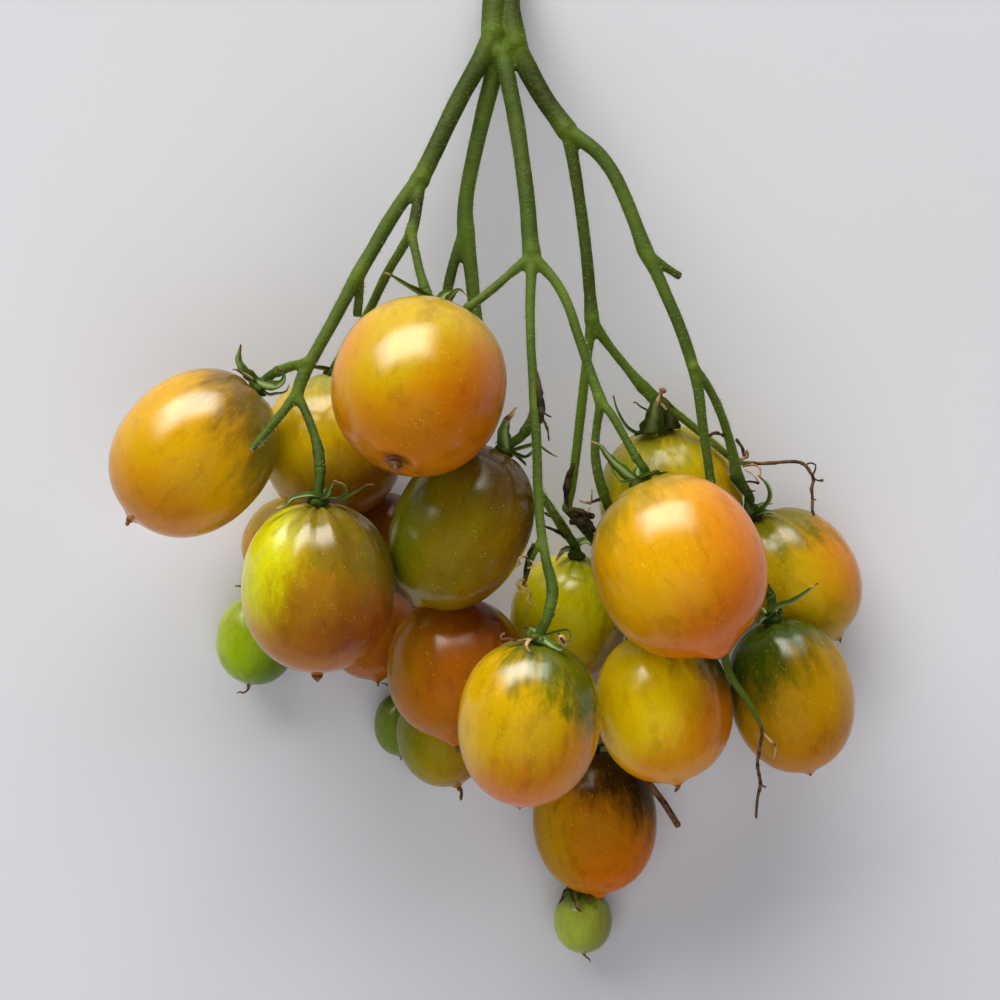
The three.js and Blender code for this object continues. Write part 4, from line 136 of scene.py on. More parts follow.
SEPALS = {
    "01": [
        dict(width=2.70, roll=0, look=3.4, dry=0.88, path=[(-12.13, 33.91, 56.03), (-14.17, 35.28, 56.49), (-17.55, 37.6, 58.49), (-21.16, 39.66, 60.49), (-24.29, 41.79, 61.49), (-26.46, 42.73, 61.99)]),
        dict(width=1.70, roll=0, path=[(-12.13, 33.91, 56.03), (-10.99, 35.52, 56.49), (-9.49, 37.6, 58.49), (-7.77, 38.51, 59.49), (-6.05, 37.02, 59.99)]),
        dict(width=2.40, roll=0, path=[(-12.13, 33.91, 56.03), (-12.72, 35.83, 55.49), (-11.1, 38.17, 49.49), (-9.96, 39.3, 43.49)]),
        dict(width=2.40, roll=0, path=[(-12.13, 33.91, 56.03), (-13.7, 35.58, 55.49), (-16.31, 37.74, 48.49), (-18.19, 37.87, 42.49)]),
    ],
    "02": [
        dict(width=3.00, roll=40, path=[(-58.03, 15.76, 42.9), (-58.97, 16.87, 42.88), (-61.54, 18.78, 43.95), (-62.86, 20.82, 44.95), (-63.03, 23.75, 45.95), (-62.2, 25.69, 46.95)]),
        dict(width=2.30, roll=30, path=[(-58.03, 15.76, 42.9), (-58.68, 16.67, 43.95), (-55.65, 15.85, 44.95), (-52.85, 15.81, 45.95), (-51.05, 17.51, 46.95), (-52.01, 19.48, 47.45), (-53.95, 19.95, 47.95)]),
        dict(width=1.20, roll=0, path=[(-58.03, 15.76, 42.9), (-57.73, 15.75, 42.91), (-55.71, 13.51, 44.96), (-52.85, 13.83, 45.95), (-49.87, 15.32, 45.95)]),
        dict(width=1.10, roll=0, dry=0.2, path=[(-58.03, 15.76, 42.9), (-59.44, 17.27, 45.03), (-62.22, 19.01, 46.15), (-64.33, 19.62, 48.12)]),
        dict(width=2.40, roll=0, path=[(-58.03, 15.76, 42.9), (-58.52, 16.38, 41.83), (-61.32, 17.42, 35.95), (-62.98, 18.62, 30.95)]),
    ],
    "03": [
        dict(width=2.53, roll=0, path=[(-40.56, 20.3, 21.44), (-39.55, 20.73, 24.12), (-38.56, 21.81, 26.63), (-37.66, 23.47, 28.83), (-36.89, 25.65, 30.59)]),
        dict(width=2.32, roll=0, path=[(-40.56, 20.3, 21.44), (-38.3, 20.16, 20.14), (-36.04, 19.97, 18.85), (-33.78, 19.78, 17.57), (-31.52, 19.6, 16.28)]),
        dict(width=2.54, roll=0, path=[(-40.56, 20.3, 21.44), (-41.03, 19.9, 18.72), (-41.49, 20.07, 15.98), (-41.92, 20.81, 13.33), (-42.3, 22.09, 10.89)]),
        dict(width=2.44, roll=0, path=[(-40.56, 20.3, 21.44), (-42.55, 20.6, 22.81), (-44.52, 20.93, 24.16), (-46.5, 21.39, 25.5), (-48.45, 21.96, 26.8)]),
    ],
    "04": [
        dict(width=2.00, roll=0, path=[(-42.24, -12.29, 63.9), (-42.6, -12, 64.77), (-45.21, -11.76, 65.77), (-47.79, -12.48, 66.97), (-49.95, -13.93, 67.27), (-51.64, -15.08, 67.28)]),
        dict(width=2.50, roll=0, dry=0.8, look=3.0, path=[(-42.24, -12.29, 63.9), (-41.09, -12.24, 65.77), (-39.53, -11.52, 67.77), (-38.73, -9.83, 69.27), (-38.17, -8.4, 70.77), (-37.13, -8.17, 72.27)]),
        dict(width=1.30, roll=0, path=[(-42.24, -12.29, 63.9), (-40.4, -12.31, 64.8), (-37.24, -12.48, 65.27), (-35.28, -11.03, 65.77), (-35.74, -9.1, 66.27), (-37.65, -8.37, 66.77)]),
        dict(width=0.90, roll=0, look=1.1, path=[(-42.24, -12.29, 63.9), (-40.14, -12.34, 64.84), (-36.01, -12.24, 65.77), (-32.58, -10.55, 66.77), (-30.36, -9.1, 67.77), (-28.43, -8.86, 67.77)]),
        dict(width=2.40, roll=0, path=[(-42.24, -12.29, 63.9), (-42.28, -11.89, 61.79), (-41.1, -10.52, 56.77), (-40.38, -10.02, 51.77)]),
        dict(width=2.40, roll=0, path=[(-42.24, -12.29, 63.9), (-43.27, -11.9, 61.79), (-45.5, -11.26, 56.77), (-47.53, -11.49, 51.77)]),
    ],
    "05": [
        dict(width=3.20, roll=50, look=4.2, dry=0.62, path=[(3.15, -0.06, 46.13), (4.1, -0.23, 47.2), (3.23, 2.86, 48.27), (3.97, 6.8, 49.27), (6.19, 10.23, 50.27)]),
        dict(width=2.00, roll=20, path=[(3.15, -0.06, 46.13), (4.76, -0.65, 47.22), (7.44, 0.14, 48.27), (10.64, 0.87, 49.27), (13.36, -0.62, 49.27), (16.33, -1.85, 49.27)]),
        dict(width=1.90, roll=0, path=[(3.15, -0.06, 46.13), (5.59, -1.25, 47.18), (7.95, -2.06, 46.27), (10.19, -1.05, 45.27), (11.93, 0.69, 45.27)]),
        dict(width=1.60, roll=0, path=[(3.15, -0.06, 46.13), (3.04, 0.23, 46.18), (1.75, 1.15, 47.27), (0.82, 1.45, 47.72)]),
        dict(width=2.20, roll=0, path=[(3.15, -0.06, 46.13), (4.92, -0.95, 46.01), (7.45, -3.09, 45.99), (8.59, -4.19, 47.12)]),
    ],
    "06": [
        dict(width=2.30, roll=35, path=[(35.77, -7.94, 55.97), (35.13, -7.79, 57.1), (32.54, -5.88, 58.15), (29.33, -2.96, 59.15), (26.37, 0.19, 60.15), (24.39, 1.88, 61.15)]),
        dict(width=1.10, roll=0, path=[(35.77, -7.94, 55.97), (34.33, -8.04, 58.04), (31.53, -8.33, 59.15), (29.82, -6.38, 59.15), (29.05, -4.19, 60.15)]),
        dict(width=1.30, roll=0, path=[(35.77, -7.94, 55.97), (36.28, -6.99, 59.08), (38.58, -6.08, 61.17), (40.41, -5.19, 62.15)]),
        dict(width=2.40, roll=0, path=[(35.77, -7.94, 55.97), (36.88, -7.75, 53.97), (40.5, -6.31, 50.15), (43.43, -6.03, 46.15)]),
        dict(width=2.40, roll=0, path=[(35.77, -7.94, 55.97), (35.89, -7.81, 54.15), (36.15, -5.3, 48.15), (37.11, -3.76, 43.15)]),
    ],
    "07": [
        dict(width=5.20, roll=60, look=8.4, kind='tri', dry=0.9, face=(0.05, -0.25, 0.97), free=True, path=[(40.29, 4.32, 25.5), (40.51, 6.53, 29), (40.77, 9, 31.5), (41.21, 11.49, 32.8), (41.95, 13.74, 33.2), (42.71, 15.26, 33.2)]),
        dict(width=4.20, roll=40, look=6.2, kind='tri', dry=0.92, dark=0.5, face=(0.3, -0.2, 0.93), free=True, path=[(44.85, 4.88, 23.5), (45.2, 7.1, 26.5), (45.07, 9.32, 29), (44.23, 11.56, 30.5), (43.2, 13.31, 31)]),
        dict(width=2.20, roll=0, look=2.6, dry=0.93, path=[(43.98, 6.99, 20.5), (39.7, 4.34, 24.5), (36.11, 4.59, 25), (33.57, 6.63, 25), (31.78, 10.19, 25), (30.75, 13.74, 25.5)]),
        dict(width=1.20, roll=0, dark=0.7, path=[(44.33, 7.05, 20.87), (44.02, 8.03, 19.71), (39.71, 10.37, 18.71), (37.14, 12.16, 18.71), (35.86, 11.9, 18.71)]),
    ],
    "08": [
        dict(width=2.37, roll=0, path=[(-9.68, -36.55, 33.01), (-8.58, -35.75, 35.35), (-7.55, -34.31, 37.4), (-6.37, -33.36, 37.66), (-5.22, -32.13, 37.04)]),
        dict(width=2.52, roll=0, path=[(-9.68, -36.55, 33.01), (-7.62, -36.67, 32.09), (-5.57, -36.83, 31.19), (-3.52, -36.97, 30.28), (-1.47, -37.08, 29.37)]),
        dict(width=2.08, roll=0, path=[(-9.68, -36.55, 33.01), (-10.49, -37.21, 30.94), (-11.3, -37.9, 28.88), (-12.1, -38.58, 26.82), (-12.91, -39.26, 24.75)]),
        dict(width=2.46, roll=0, path=[(-9.68, -36.55, 33.01), (-11.95, -36.28, 33.95), (-14.2, -36.04, 34.9), (-16.46, -35.79, 35.84), (-18.72, -35.51, 36.78)]),
    ],
    "09": [
        dict(width=1.30, roll=0, look=1.3, dry=0.15, path=[(11.16, -45.03, 68.8), (8.97, -46.16, 70.6), (6.32, -46.48, 71.6), (3.91, -46.09, 72.2), (2.35, -46.32, 72.5), (2.47, -44.99, 72.8), (3.19, -44.38, 73)]),
        dict(width=1.10, roll=0, look=1.4, dry=0.05, path=[(11.16, -45.03, 68.8), (9.44, -46.1, 72), (8.41, -47.45, 74), (8.93, -48.83, 75.4), (10.35, -49.87, 76)]),
        dict(width=2.90, roll=30, look=2.4, dry=0.93, path=[(11.16, -45.03, 68.8), (13.05, -46.87, 71), (14.95, -48.13, 72.4), (16.62, -48.58, 73), (17.81, -47.71, 73.6), (18.16, -46.25, 74.2)]),
        dict(width=2.10, roll=0, look=2.0, dry=0.9, path=[(11.16, -45.03, 68.8), (13.79, -44.99, 69.8), (15.7, -44.35, 70.8), (17.61, -44.08, 71.6), (18.91, -44.77, 72.4), (19.14, -46.18, 73)]),
        dict(width=2.40, roll=0, path=[(11.38, -45.62, 68.76), (10.69, -44.84, 67.62), (9.28, -43.83, 62.62), (7.86, -44.03, 57.62)]),
    ],
    "10": [
        dict(width=2.82, roll=0, path=[(39.32, -44.68, 38.51), (37.18, -45.29, 36.86), (35, -45.57, 35.18), (32.81, -45.5, 33.49), (30.65, -45.07, 31.81)]),
        dict(width=2.75, roll=0, path=[(39.32, -44.68, 38.51), (38.79, -44.36, 40.64), (38.24, -43.91, 42.73), (37.66, -43.27, 44.77), (36.86, -42.71, 46.38)]),
        dict(width=2.77, roll=0, path=[(39.32, -44.68, 38.51), (42.11, -44.06, 39.22), (44.77, -42.96, 39.83), (47.21, -41.39, 40.34), (49.35, -39.4, 40.72)]),
        dict(width=2.39, roll=0, path=[(39.32, -44.68, 38.51), (40.23, -44.75, 36.47), (40.96, -44.17, 34.45), (41.44, -42.93, 32.67), (41.59, -41.17, 31.32)]),
    ],
    "11": [
        dict(width=2.70, roll=20, look=3.4, turn=0, path=[(70.39, -42.2, 32.9), (69.92, -41.66, 34.9), (72.35, -39.36, 35.9), (75.52, -38.32, 36.9), (78.24, -36.3, 37.4), (81.7, -33.53, 37.9)]),
        dict(width=3.00, roll=0, look=4.0, dark=0.5, path=[(70.39, -42.2, 32.9), (69.08, -42.12, 35.9), (67.41, -43.31, 37.9), (66.18, -44.68, 38.07)]),
        dict(width=2.40, roll=0, path=[(70.39, -42.2, 32.9), (70.75, -42.03, 30.89), (73.04, -40.76, 27.09), (73.46, -43.08, 26.12)]),
        dict(width=2.20, roll=0, path=[(70.39, -42.2, 32.9), (69.75, -41.8, 30.9), (68.55, -40.16, 26.9), (67.49, -39.77, 23.93)]),
    ],
    "12": [
        dict(width=2.60, roll=0, path=[(67.63, -16.53, 13.32), (68.02, -16.17, 16.39), (70.01, -14.52, 18.37), (71.47, -11.96, 19.37), (70.62, -8.63, 20.37), (68.06, -6.32, 20.37)]),
        dict(width=3.60, roll=30, look=5.0, dark=0.5, turn=0, path=[(67.63, -16.53, 13.32), (67.09, -16.59, 16.37), (65.59, -14.81, 18.4), (65.65, -12.7, 18.51), (65.53, -10.33, 18.42)]),
        dict(width=2.20, roll=0, path=[(67.63, -16.53, 13.32), (67.66, -16.42, 16.48), (70.29, -15.95, 19.77), (72.9, -15.93, 21.56)]),
        dict(width=2.40, roll=0, path=[(67.63, -16.53, 13.32), (67.92, -16.09, 12.37), (69.81, -14.02, 11.37), (72.48, -13.5, 10.37)]),
    ],
    "13": [
        dict(width=2.40, roll=0, look=3.4, dry=0.55, dark=0.2, path=[(21.54, -26.29, 18.39), (20.69, -25.53, 20.19), (18.61, -25.76, 21.69), (16.44, -28.08, 22.97)]),
        dict(width=3.20, roll=30, look=4.2, path=[(21.54, -26.29, 18.39), (21.97, -24.76, 20.19), (24.23, -23.46, 21.69), (27.02, -24.98, 22.69)]),
        dict(width=2.40, roll=0, path=[(21.54, -26.29, 18.39), (21.27, -25.32, 17.19), (21.6, -23.3, 14.19), (22.73, -22.58, 10.19)]),
    ],
    "14": [
        dict(width=2.44, roll=0, path=[(25.28, -76.3, 14.25), (22.52, -76.42, 14.58), (19.85, -75.74, 14.86), (17.49, -74.29, 15.05), (15.67, -72.19, 15.14)]),
        dict(width=2.57, roll=0, path=[(25.28, -76.3, 14.25), (25.85, -76.06, 16.21), (26.34, -75.21, 17.99), (26.69, -73.75, 19.37), (26.84, -71.88, 20.16)]),
        dict(width=2.47, roll=0, path=[(25.28, -76.3, 14.25), (27.98, -76.1, 14.18), (30.59, -75.44, 14.08), (33.04, -74.32, 13.96), (35.24, -72.76, 13.83)]),
        dict(width=2.25, roll=0, path=[(25.28, -76.3, 14.25), (25.36, -76.3, 12.18), (25.41, -75.87, 10.17), (25.42, -74.95, 8.32), (25.39, -73.59, 6.78)]),
    ],
    "15": [
        dict(width=2.40, roll=0, look=3.6, dark=0.45, dry=0.7, path=[(23.39, -113, 7.87), (21.75, -113.33, 9.43), (21.37, -114.53, 12.83), (21.83, -117.06, 15.33), (22.85, -118.8, 15.83)]),
        dict(width=1.90, roll=0, look=3.0, dark=0.35, dry=0.7, path=[(23.39, -113, 7.87), (22.78, -113.38, 8.88), (24.68, -115.17, 13.8), (25.18, -116.54, 15.33)]),
        dict(width=2.10, roll=0, look=3.2, dark=0.4, dry=0.7, path=[(23.39, -113, 7.87), (22.1, -113, 8.57), (19.33, -114.55, 11.07), (17.44, -117.01, 12.08)]),
        dict(width=1.00, roll=0, path=[(23.39, -113, 7.87), (22.32, -112.98, 8.4), (20.36, -112.93, 9.78), (18.58, -112.14, 10.14)]),
    ],
    "16": [
        dict(width=2.18, roll=0, path=[(-58.68, -36.7, 10.5), (-60.65, -36.25, 10.33), (-62.63, -35.85, 10.15), (-64.6, -35.42, 9.98), (-66.56, -34.98, 9.81)]),
        dict(width=1.77, roll=0, path=[(-58.68, -36.7, 10.5), (-59.63, -36.61, 12.52), (-60.47, -36.07, 14.53), (-61.16, -35.09, 16.42), (-61.67, -33.72, 18.11)]),
        dict(width=1.93, roll=0, path=[(-58.68, -36.7, 10.5), (-56.72, -37.04, 11.09), (-54.85, -37.37, 11.72), (-53.03, -37.51, 12.36), (-51.36, -37.35, 12.99)]),
        dict(width=1.94, roll=0, path=[(-58.68, -36.7, 10.5), (-57.85, -36.69, 8.82), (-56.99, -36.41, 7.19), (-56.12, -35.81, 5.66), (-55.29, -35.09, 4.16)]),
    ],
    "17": [
        dict(width=1.85, roll=0, path=[(-32.28, -33.72, 9.72), (-31.35, -33.36, 11.1), (-30.51, -32.59, 12.36), (-30.03, -32.23, 13.66), (-29.85, -31.77, 14.82)]),
        dict(width=1.77, roll=0, path=[(-32.28, -33.72, 9.72), (-30.67, -33.58, 8.61), (-29.19, -32.98, 7.52), (-27.96, -32.52, 6.28), (-27, -31.93, 4.96)]),
        dict(width=1.78, roll=0, path=[(-32.28, -33.72, 9.72), (-33.2, -33.88, 8.15), (-34.12, -33.91, 6.59), (-35.04, -33.72, 5.05), (-35.95, -33.29, 3.54)]),
        dict(width=2.10, roll=0, path=[(-32.28, -33.72, 9.72), (-34.09, -33.73, 10.87), (-35.91, -33.43, 11.97), (-37.68, -32.77, 12.98), (-39.35, -31.77, 13.87)]),
    ],
    "18": [
        dict(width=1.75, roll=0, path=[(-23.79, -61.84, 6.08), (-22.5, -61.79, 5.15), (-21.23, -61.52, 4.25), (-20.02, -60.99, 3.39), (-18.9, -60.21, 2.59)]),
        dict(width=1.47, roll=0, path=[(-23.79, -61.84, 6.08), (-24.39, -61.73, 4.97), (-24.97, -61.49, 3.91), (-25.52, -61.02, 2.9), (-26.01, -60.34, 2)]),
        dict(width=1.51, roll=0, path=[(-23.79, -61.84, 6.08), (-25.24, -61.79, 6.83), (-26.63, -61.36, 7.55), (-27.87, -60.55, 8.2), (-28.78, -60.06, 8.59)]),
        dict(width=1.45, roll=0, path=[(-23.79, -61.84, 6.08), (-23.36, -61.83, 7.7), (-22.93, -61.64, 9.31), (-22.5, -61.26, 10.89), (-22.09, -60.71, 12.42)]),
    ],
    "19": [
        dict(width=2.09, roll=0, path=[(-17.08, -60.4, 19.83), (-15.84, -59.91, 18.72), (-14.73, -59.15, 17.65), (-13.83, -58.07, 16.66), (-13.17, -56.74, 15.8)]),
        dict(width=2.10, roll=0, path=[(-17.08, -60.4, 19.83), (-18.69, -60.86, 18.77), (-20.29, -61.35, 17.72), (-21.9, -61.81, 16.67), (-23.51, -62.25, 15.63)]),
        dict(width=2.14, roll=0, path=[(-17.08, -60.4, 19.83), (-17.89, -60.58, 21.34), (-18.73, -60.66, 22.84), (-19.61, -60.56, 24.32), (-20.52, -60.28, 25.75)]),
        dict(width=2.06, roll=0, path=[(-17.08, -60.4, 19.83), (-15.53, -59.83, 20.8), (-14.01, -59.18, 21.77), (-12.56, -58.41, 22.73), (-11.17, -57.5, 23.68)]),
    ],
    "20": [
        dict(width=1.99, roll=0, path=[(-46.01, -13.1, 9.72), (-47.23, -12.36, 8.57), (-48.16, -11.28, 7.44), (-48.67, -9.88, 6.39), (-48.71, -8.27, 5.54)]),
        dict(width=2.03, roll=0, path=[(-46.01, -13.1, 9.72), (-47.18, -12.11, 10.78), (-48.21, -10.96, 11.79), (-49.44, -10.06, 12.03), (-50.55, -9, 12.04)]),
        dict(width=1.91, roll=0, path=[(-46.01, -13.1, 9.72), (-44.78, -13.58, 11.37), (-43.44, -13.9, 12.85), (-42.02, -14.72, 13.52), (-40.43, -15.24, 14.08)]),
        dict(width=1.91, roll=0, path=[(-46.01, -13.1, 9.72), (-45, -13.87, 8.02), (-43.94, -14.57, 6.32), (-42.81, -15.13, 4.61), (-41.62, -15.56, 2.92)]),
    ],
    "21": [
        dict(width=1.70, roll=0, path=[(-30.28, -10.28, 7.27), (-31.97, -10.74, 6.54), (-33.69, -10.89, 5.76), (-35.38, -10.66, 4.94), (-36.97, -10.06, 4.13)]),
        dict(width=2.05, roll=0, path=[(-30.28, -10.28, 7.27), (-31.56, -10.17, 8.77), (-32.88, -9.6, 10.11), (-33.82, -9.04, 10.32), (-34.5, -8.29, 9.67)]),
        dict(width=1.85, roll=0, path=[(-30.28, -10.28, 7.27), (-28.75, -9.75, 7.62), (-27.36, -8.93, 7.89), (-26.21, -7.77, 8.04), (-25.39, -6.35, 8.05)]),
        dict(width=2.17, roll=0, path=[(-30.28, -10.28, 7.27), (-29.28, -10.5, 5.23), (-28.34, -10.53, 3.17), (-27.44, -10.37, 1.2), (-26.62, -10, 1.2)]),
    ],
}
# thin dry twigs that are only trim: centre line with radius
TWIGS = [
    dict(kind='dark', path=[(10.88, 18.87, 50.26, 0.5), (11.6, 15.37, 51.49, 0.8), (11.83, 12.37, 52.95, 0.9), (12.31, 8.89, 54.2, 0.8), (12.05, 6.41, 55.06, 0.4)]),
    dict(kind='dark', path=[(11.35, 13.85, 52.59, 0.5), (12.32, 11.36, 53.7, 0.6), (12.05, 8.38, 54.95, 0.4)]),
    dict(kind='dark', path=[(11.82, 10.12, 54.05, 0.4), (13.04, 8.62, 54.95, 0.3), (14.5, 7.63, 55.31, 0.18)]),
    dict(kind='dark', path=[(12.55, 7.16, 54.71, 0.3), (13.52, 4.93, 55.62, 0.35), (13.99, 1.96, 56.7, 0.18)]),
    dict(kind='dark', path=[(10.25, -23.41, 63.4, 0.5), (9.04, -25.86, 62.24, 0.55), (8.32, -28.06, 61.19, 0.5), (8.09, -30.77, 59.94, 0.42), (7.85, -33.23, 59, 0.4)]),
    dict(kind='tan', path=[(8.8, -26.58, 62.33, 0.3), (7.34, -26.58, 62.3, 0.35), (6.37, -27.31, 62.4, 0.38), (6.86, -28.3, 61.48, 0.3), (5.89, -28.8, 60.76, 0.2)]),
    dict(kind='tan', path=[(8.56, -27.32, 61.7, 0.3), (9.77, -27.55, 62.41, 0.3), (10.02, -28.78, 61.79, 0.25), (8.81, -29.28, 61.27, 0.2)]),
    dict(kind='tan', path=[(8.09, -32.24, 59.51, 0.3), (6.87, -32.24, 59.8, 0.35), (6.14, -33.21, 59.9, 0.36), (6.87, -34.19, 59.8, 0.3), (6.14, -35.18, 59.4, 0.22)]),
    dict(kind='tan', path=[(7.85, -33.23, 59.2, 0.3), (8.58, -34.44, 59.6, 0.3), (7.6, -35.41, 59.6, 0.28), (6.87, -34.69, 59.4, 0.2)]),
    dict(kind='tan', path=[(8.09, -32.98, 59.2, 0.22), (9.31, -35.18, 59.4, 0.2), (9.56, -36.89, 59.3, 0.18), (10.54, -38.35, 59.2, 0.14)]),
    dict(kind='tan', path=[(9.32, -35.18, 59.2, 0.16), (8.58, -37.38, 59.2, 0.16), (9.32, -38.11, 59.2, 0.12)]),
    dict(kind='dark', path=[(20.68, -3.38, 31.95, 0.35), (19.66, -5.91, 32.32, 0.8), (18.9, -9.19, 32.48, 1), (18.65, -11.97, 32.34, 0.6), (19.16, -14.75, 32, 0.3)]),
    dict(kind='tan', path=[(67.1, -70.4, 47.95, 0.3), (68.36, -71.66, 47.64, 0.32), (69.91, -73.45, 46.93, 0.32), (70.28, -75.3, 45.46, 0.26), (69.47, -78.21, 43.3, 0.18)]),
    dict(kind='tan', path=[(67.41, -83.91, 37.96, 0.3), (68.46, -84.71, 37.38, 0.22)]),
    dict(kind='dark', path=[(79.88, -3.59, 28.04, 0.26), (80.87, -3.34, 28.23, 0.22), (82.03, -3.85, 28.29, 0.22), (81.9, -5.12, 28.1, 0.22), (81.43, -6.38, 27.73, 0.2)]),
    dict(kind='dark', path=[(81.57, -7.27, 27.56, 0.3), (82.7, -7.78, 27.7, 0.26), (83.71, -7.75, 27.8, 0.3)]),
    dict(kind='dark', path=[(81.39, -12.73, 26.79, 0.24), (82.13, -12.6, 26.99, 0.18)]),
    dict(kind='tan', path=[(63.68, -4.09, 27.5, 0.35), (66.65, -3.85, 28.42, 0.32), (67.91, -5.12, 28.62, 0.28), (67.91, -6.64, 28.52, 0.2)]),
    dict(kind='tan', path=[(64.18, -5.11, 27.62, 0.25), (66.15, -6.39, 28.36, 0.25), (67.65, -8.16, 28.62, 0.2)]),
    dict(kind='dark', path=[(62.92, -8.66, 27.5, 0.3), (65.4, -7.91, 28.24, 0.34), (67.4, -8.42, 28.58, 0.3)]),
    dict(kind='dark', path=[(62.92, -9.43, 27.5, 0.22), (64.89, -10.19, 28.24, 0.25), (66.65, -10.44, 28.52, 0.16)]),
    dict(kind='dark', path=[(64.9, -10.19, 28.14, 0.2), (64.4, -11.2, 28.08, 0.16)]),
    dict(kind='dark', path=[(54.08, 3.23, 42.48, 0.4), (55.56, 3.97, 42.83, 0.45), (57.53, 3.46, 43.08, 0.35)]),
    dict(kind='dark', path=[(60.88, 2.5, 41.53, 0.4), (62.34, 0.49, 42.03, 0.45), (62.82, -1.51, 42.32, 0.4)]),
    dict(kind='tan', path=[(62.82, -1.51, 42.32, 0.35), (63.55, -0.26, 42.48, 0.3), (63.53, -2.26, 42.76, 0.35), (62.05, -2.51, 42.56, 0.3)]),
    dict(kind='dark', path=[(18.64, -16, 32.8, 0.5), (20.89, -15.5, 33.6, 0.9), (23.15, -16.25, 34, 1), (25.16, -16.76, 34, 0.6)]),
    dict(kind='dark', path=[(19.65, -18.27, 32.8, 0.6), (22.15, -18.02, 33.8, 1), (24.66, -18.77, 34, 0.7)]),
    dict(kind='dark', path=[(21.15, -17.01, 33.4, 0.5), (23.64, -17.51, 34.4, 0.8), (25.67, -20.28, 34, 0.5)]),
    dict(kind='tan', path=[(21.92, -12.73, 32.84, 0.2), (23.16, -13.23, 33.44, 0.34), (24.67, -13.48, 33.63, 0.3)]),
    dict(kind='dark', path=[(24.68, -13.48, 33.44, 0.3), (26.43, -12.73, 33.65, 0.5), (28.45, -12.22, 33.47, 0.5)]),
    dict(kind='tan', path=[(24.93, -13.23, 33.44, 0.22), (25.17, -11.72, 33.66, 0.22), (25.17, -10.21, 33.68, 0.14)]),
    dict(kind='tan', path=[(23.66, -17.01, 33.6, 0.3), (24.15, -15.75, 34.4, 0.34), (24.65, -14.74, 34.42, 0.2)]),
    dict(kind='dark', path=[(12.84, -15.75, 33, 0.3), (15.1, -17.01, 33.2, 0.4), (17.62, -18.52, 33.2, 0.5)]),
    dict(kind='dark', path=[(13.09, -19.28, 33, 0.3), (15.61, -20.29, 33.2, 0.45), (18.63, -21.8, 33.2, 0.5)]),
    dict(kind='tan', path=[(42.31, 14.99, 33.6, 0.45), (43.06, 15.37, 33.7, 0.5), (43.31, 14.74, 33.7, 0.4)]),
    dict(kind='tan', path=[(42.57, 14.74, 33.5, 0.42), (42.17, 13.47, 33.8, 0.45), (41.8, 12.21, 33.8, 0.45), (41.55, 11.33, 33.7, 0.3)]),
    dict(kind='tan', path=[(42.32, 11.72, 33.3, 0.3), (43.06, 11.09, 33.6, 0.4), (43.83, 10.21, 33.5, 0.34)]),
    dict(kind='tan', path=[(17.81, -46.51, 73.6, 0.3), (16.85, -45.31, 73.8, 0.42), (16.01, -45.68, 73.6, 0.38), (16.37, -46.75, 73.6, 0.34), (17.09, -47.72, 73.4, 0.3)]),
    dict(kind='dark', path=[(16.14, -44.74, 73, 0.3), (16.61, -45.92, 73.5, 0.32), (17.22, -46.77, 73.3, 0.25)]),
    dict(kind='green', path=[(10.89, -45.8, 70.6, 0.55), (9.44, -45.84, 71.4, 0.5), (8.67, -45.04, 71.6, 0.45), (9.32, -44.25, 71.4, 0.4)]),
]

MM = 0.001


def rng_of(seed):
    return np.random.RandomState(seed)


# ---- small node helpers ----
def srgb(r, g, b):
    out = []
    for c in (r, g, b):
        c /= 255.0
        out.append(c / 12.92 if c <= 0.04045 else ((c + 0.055) / 1.055) ** 2.4)
    return (*out, 1.0)


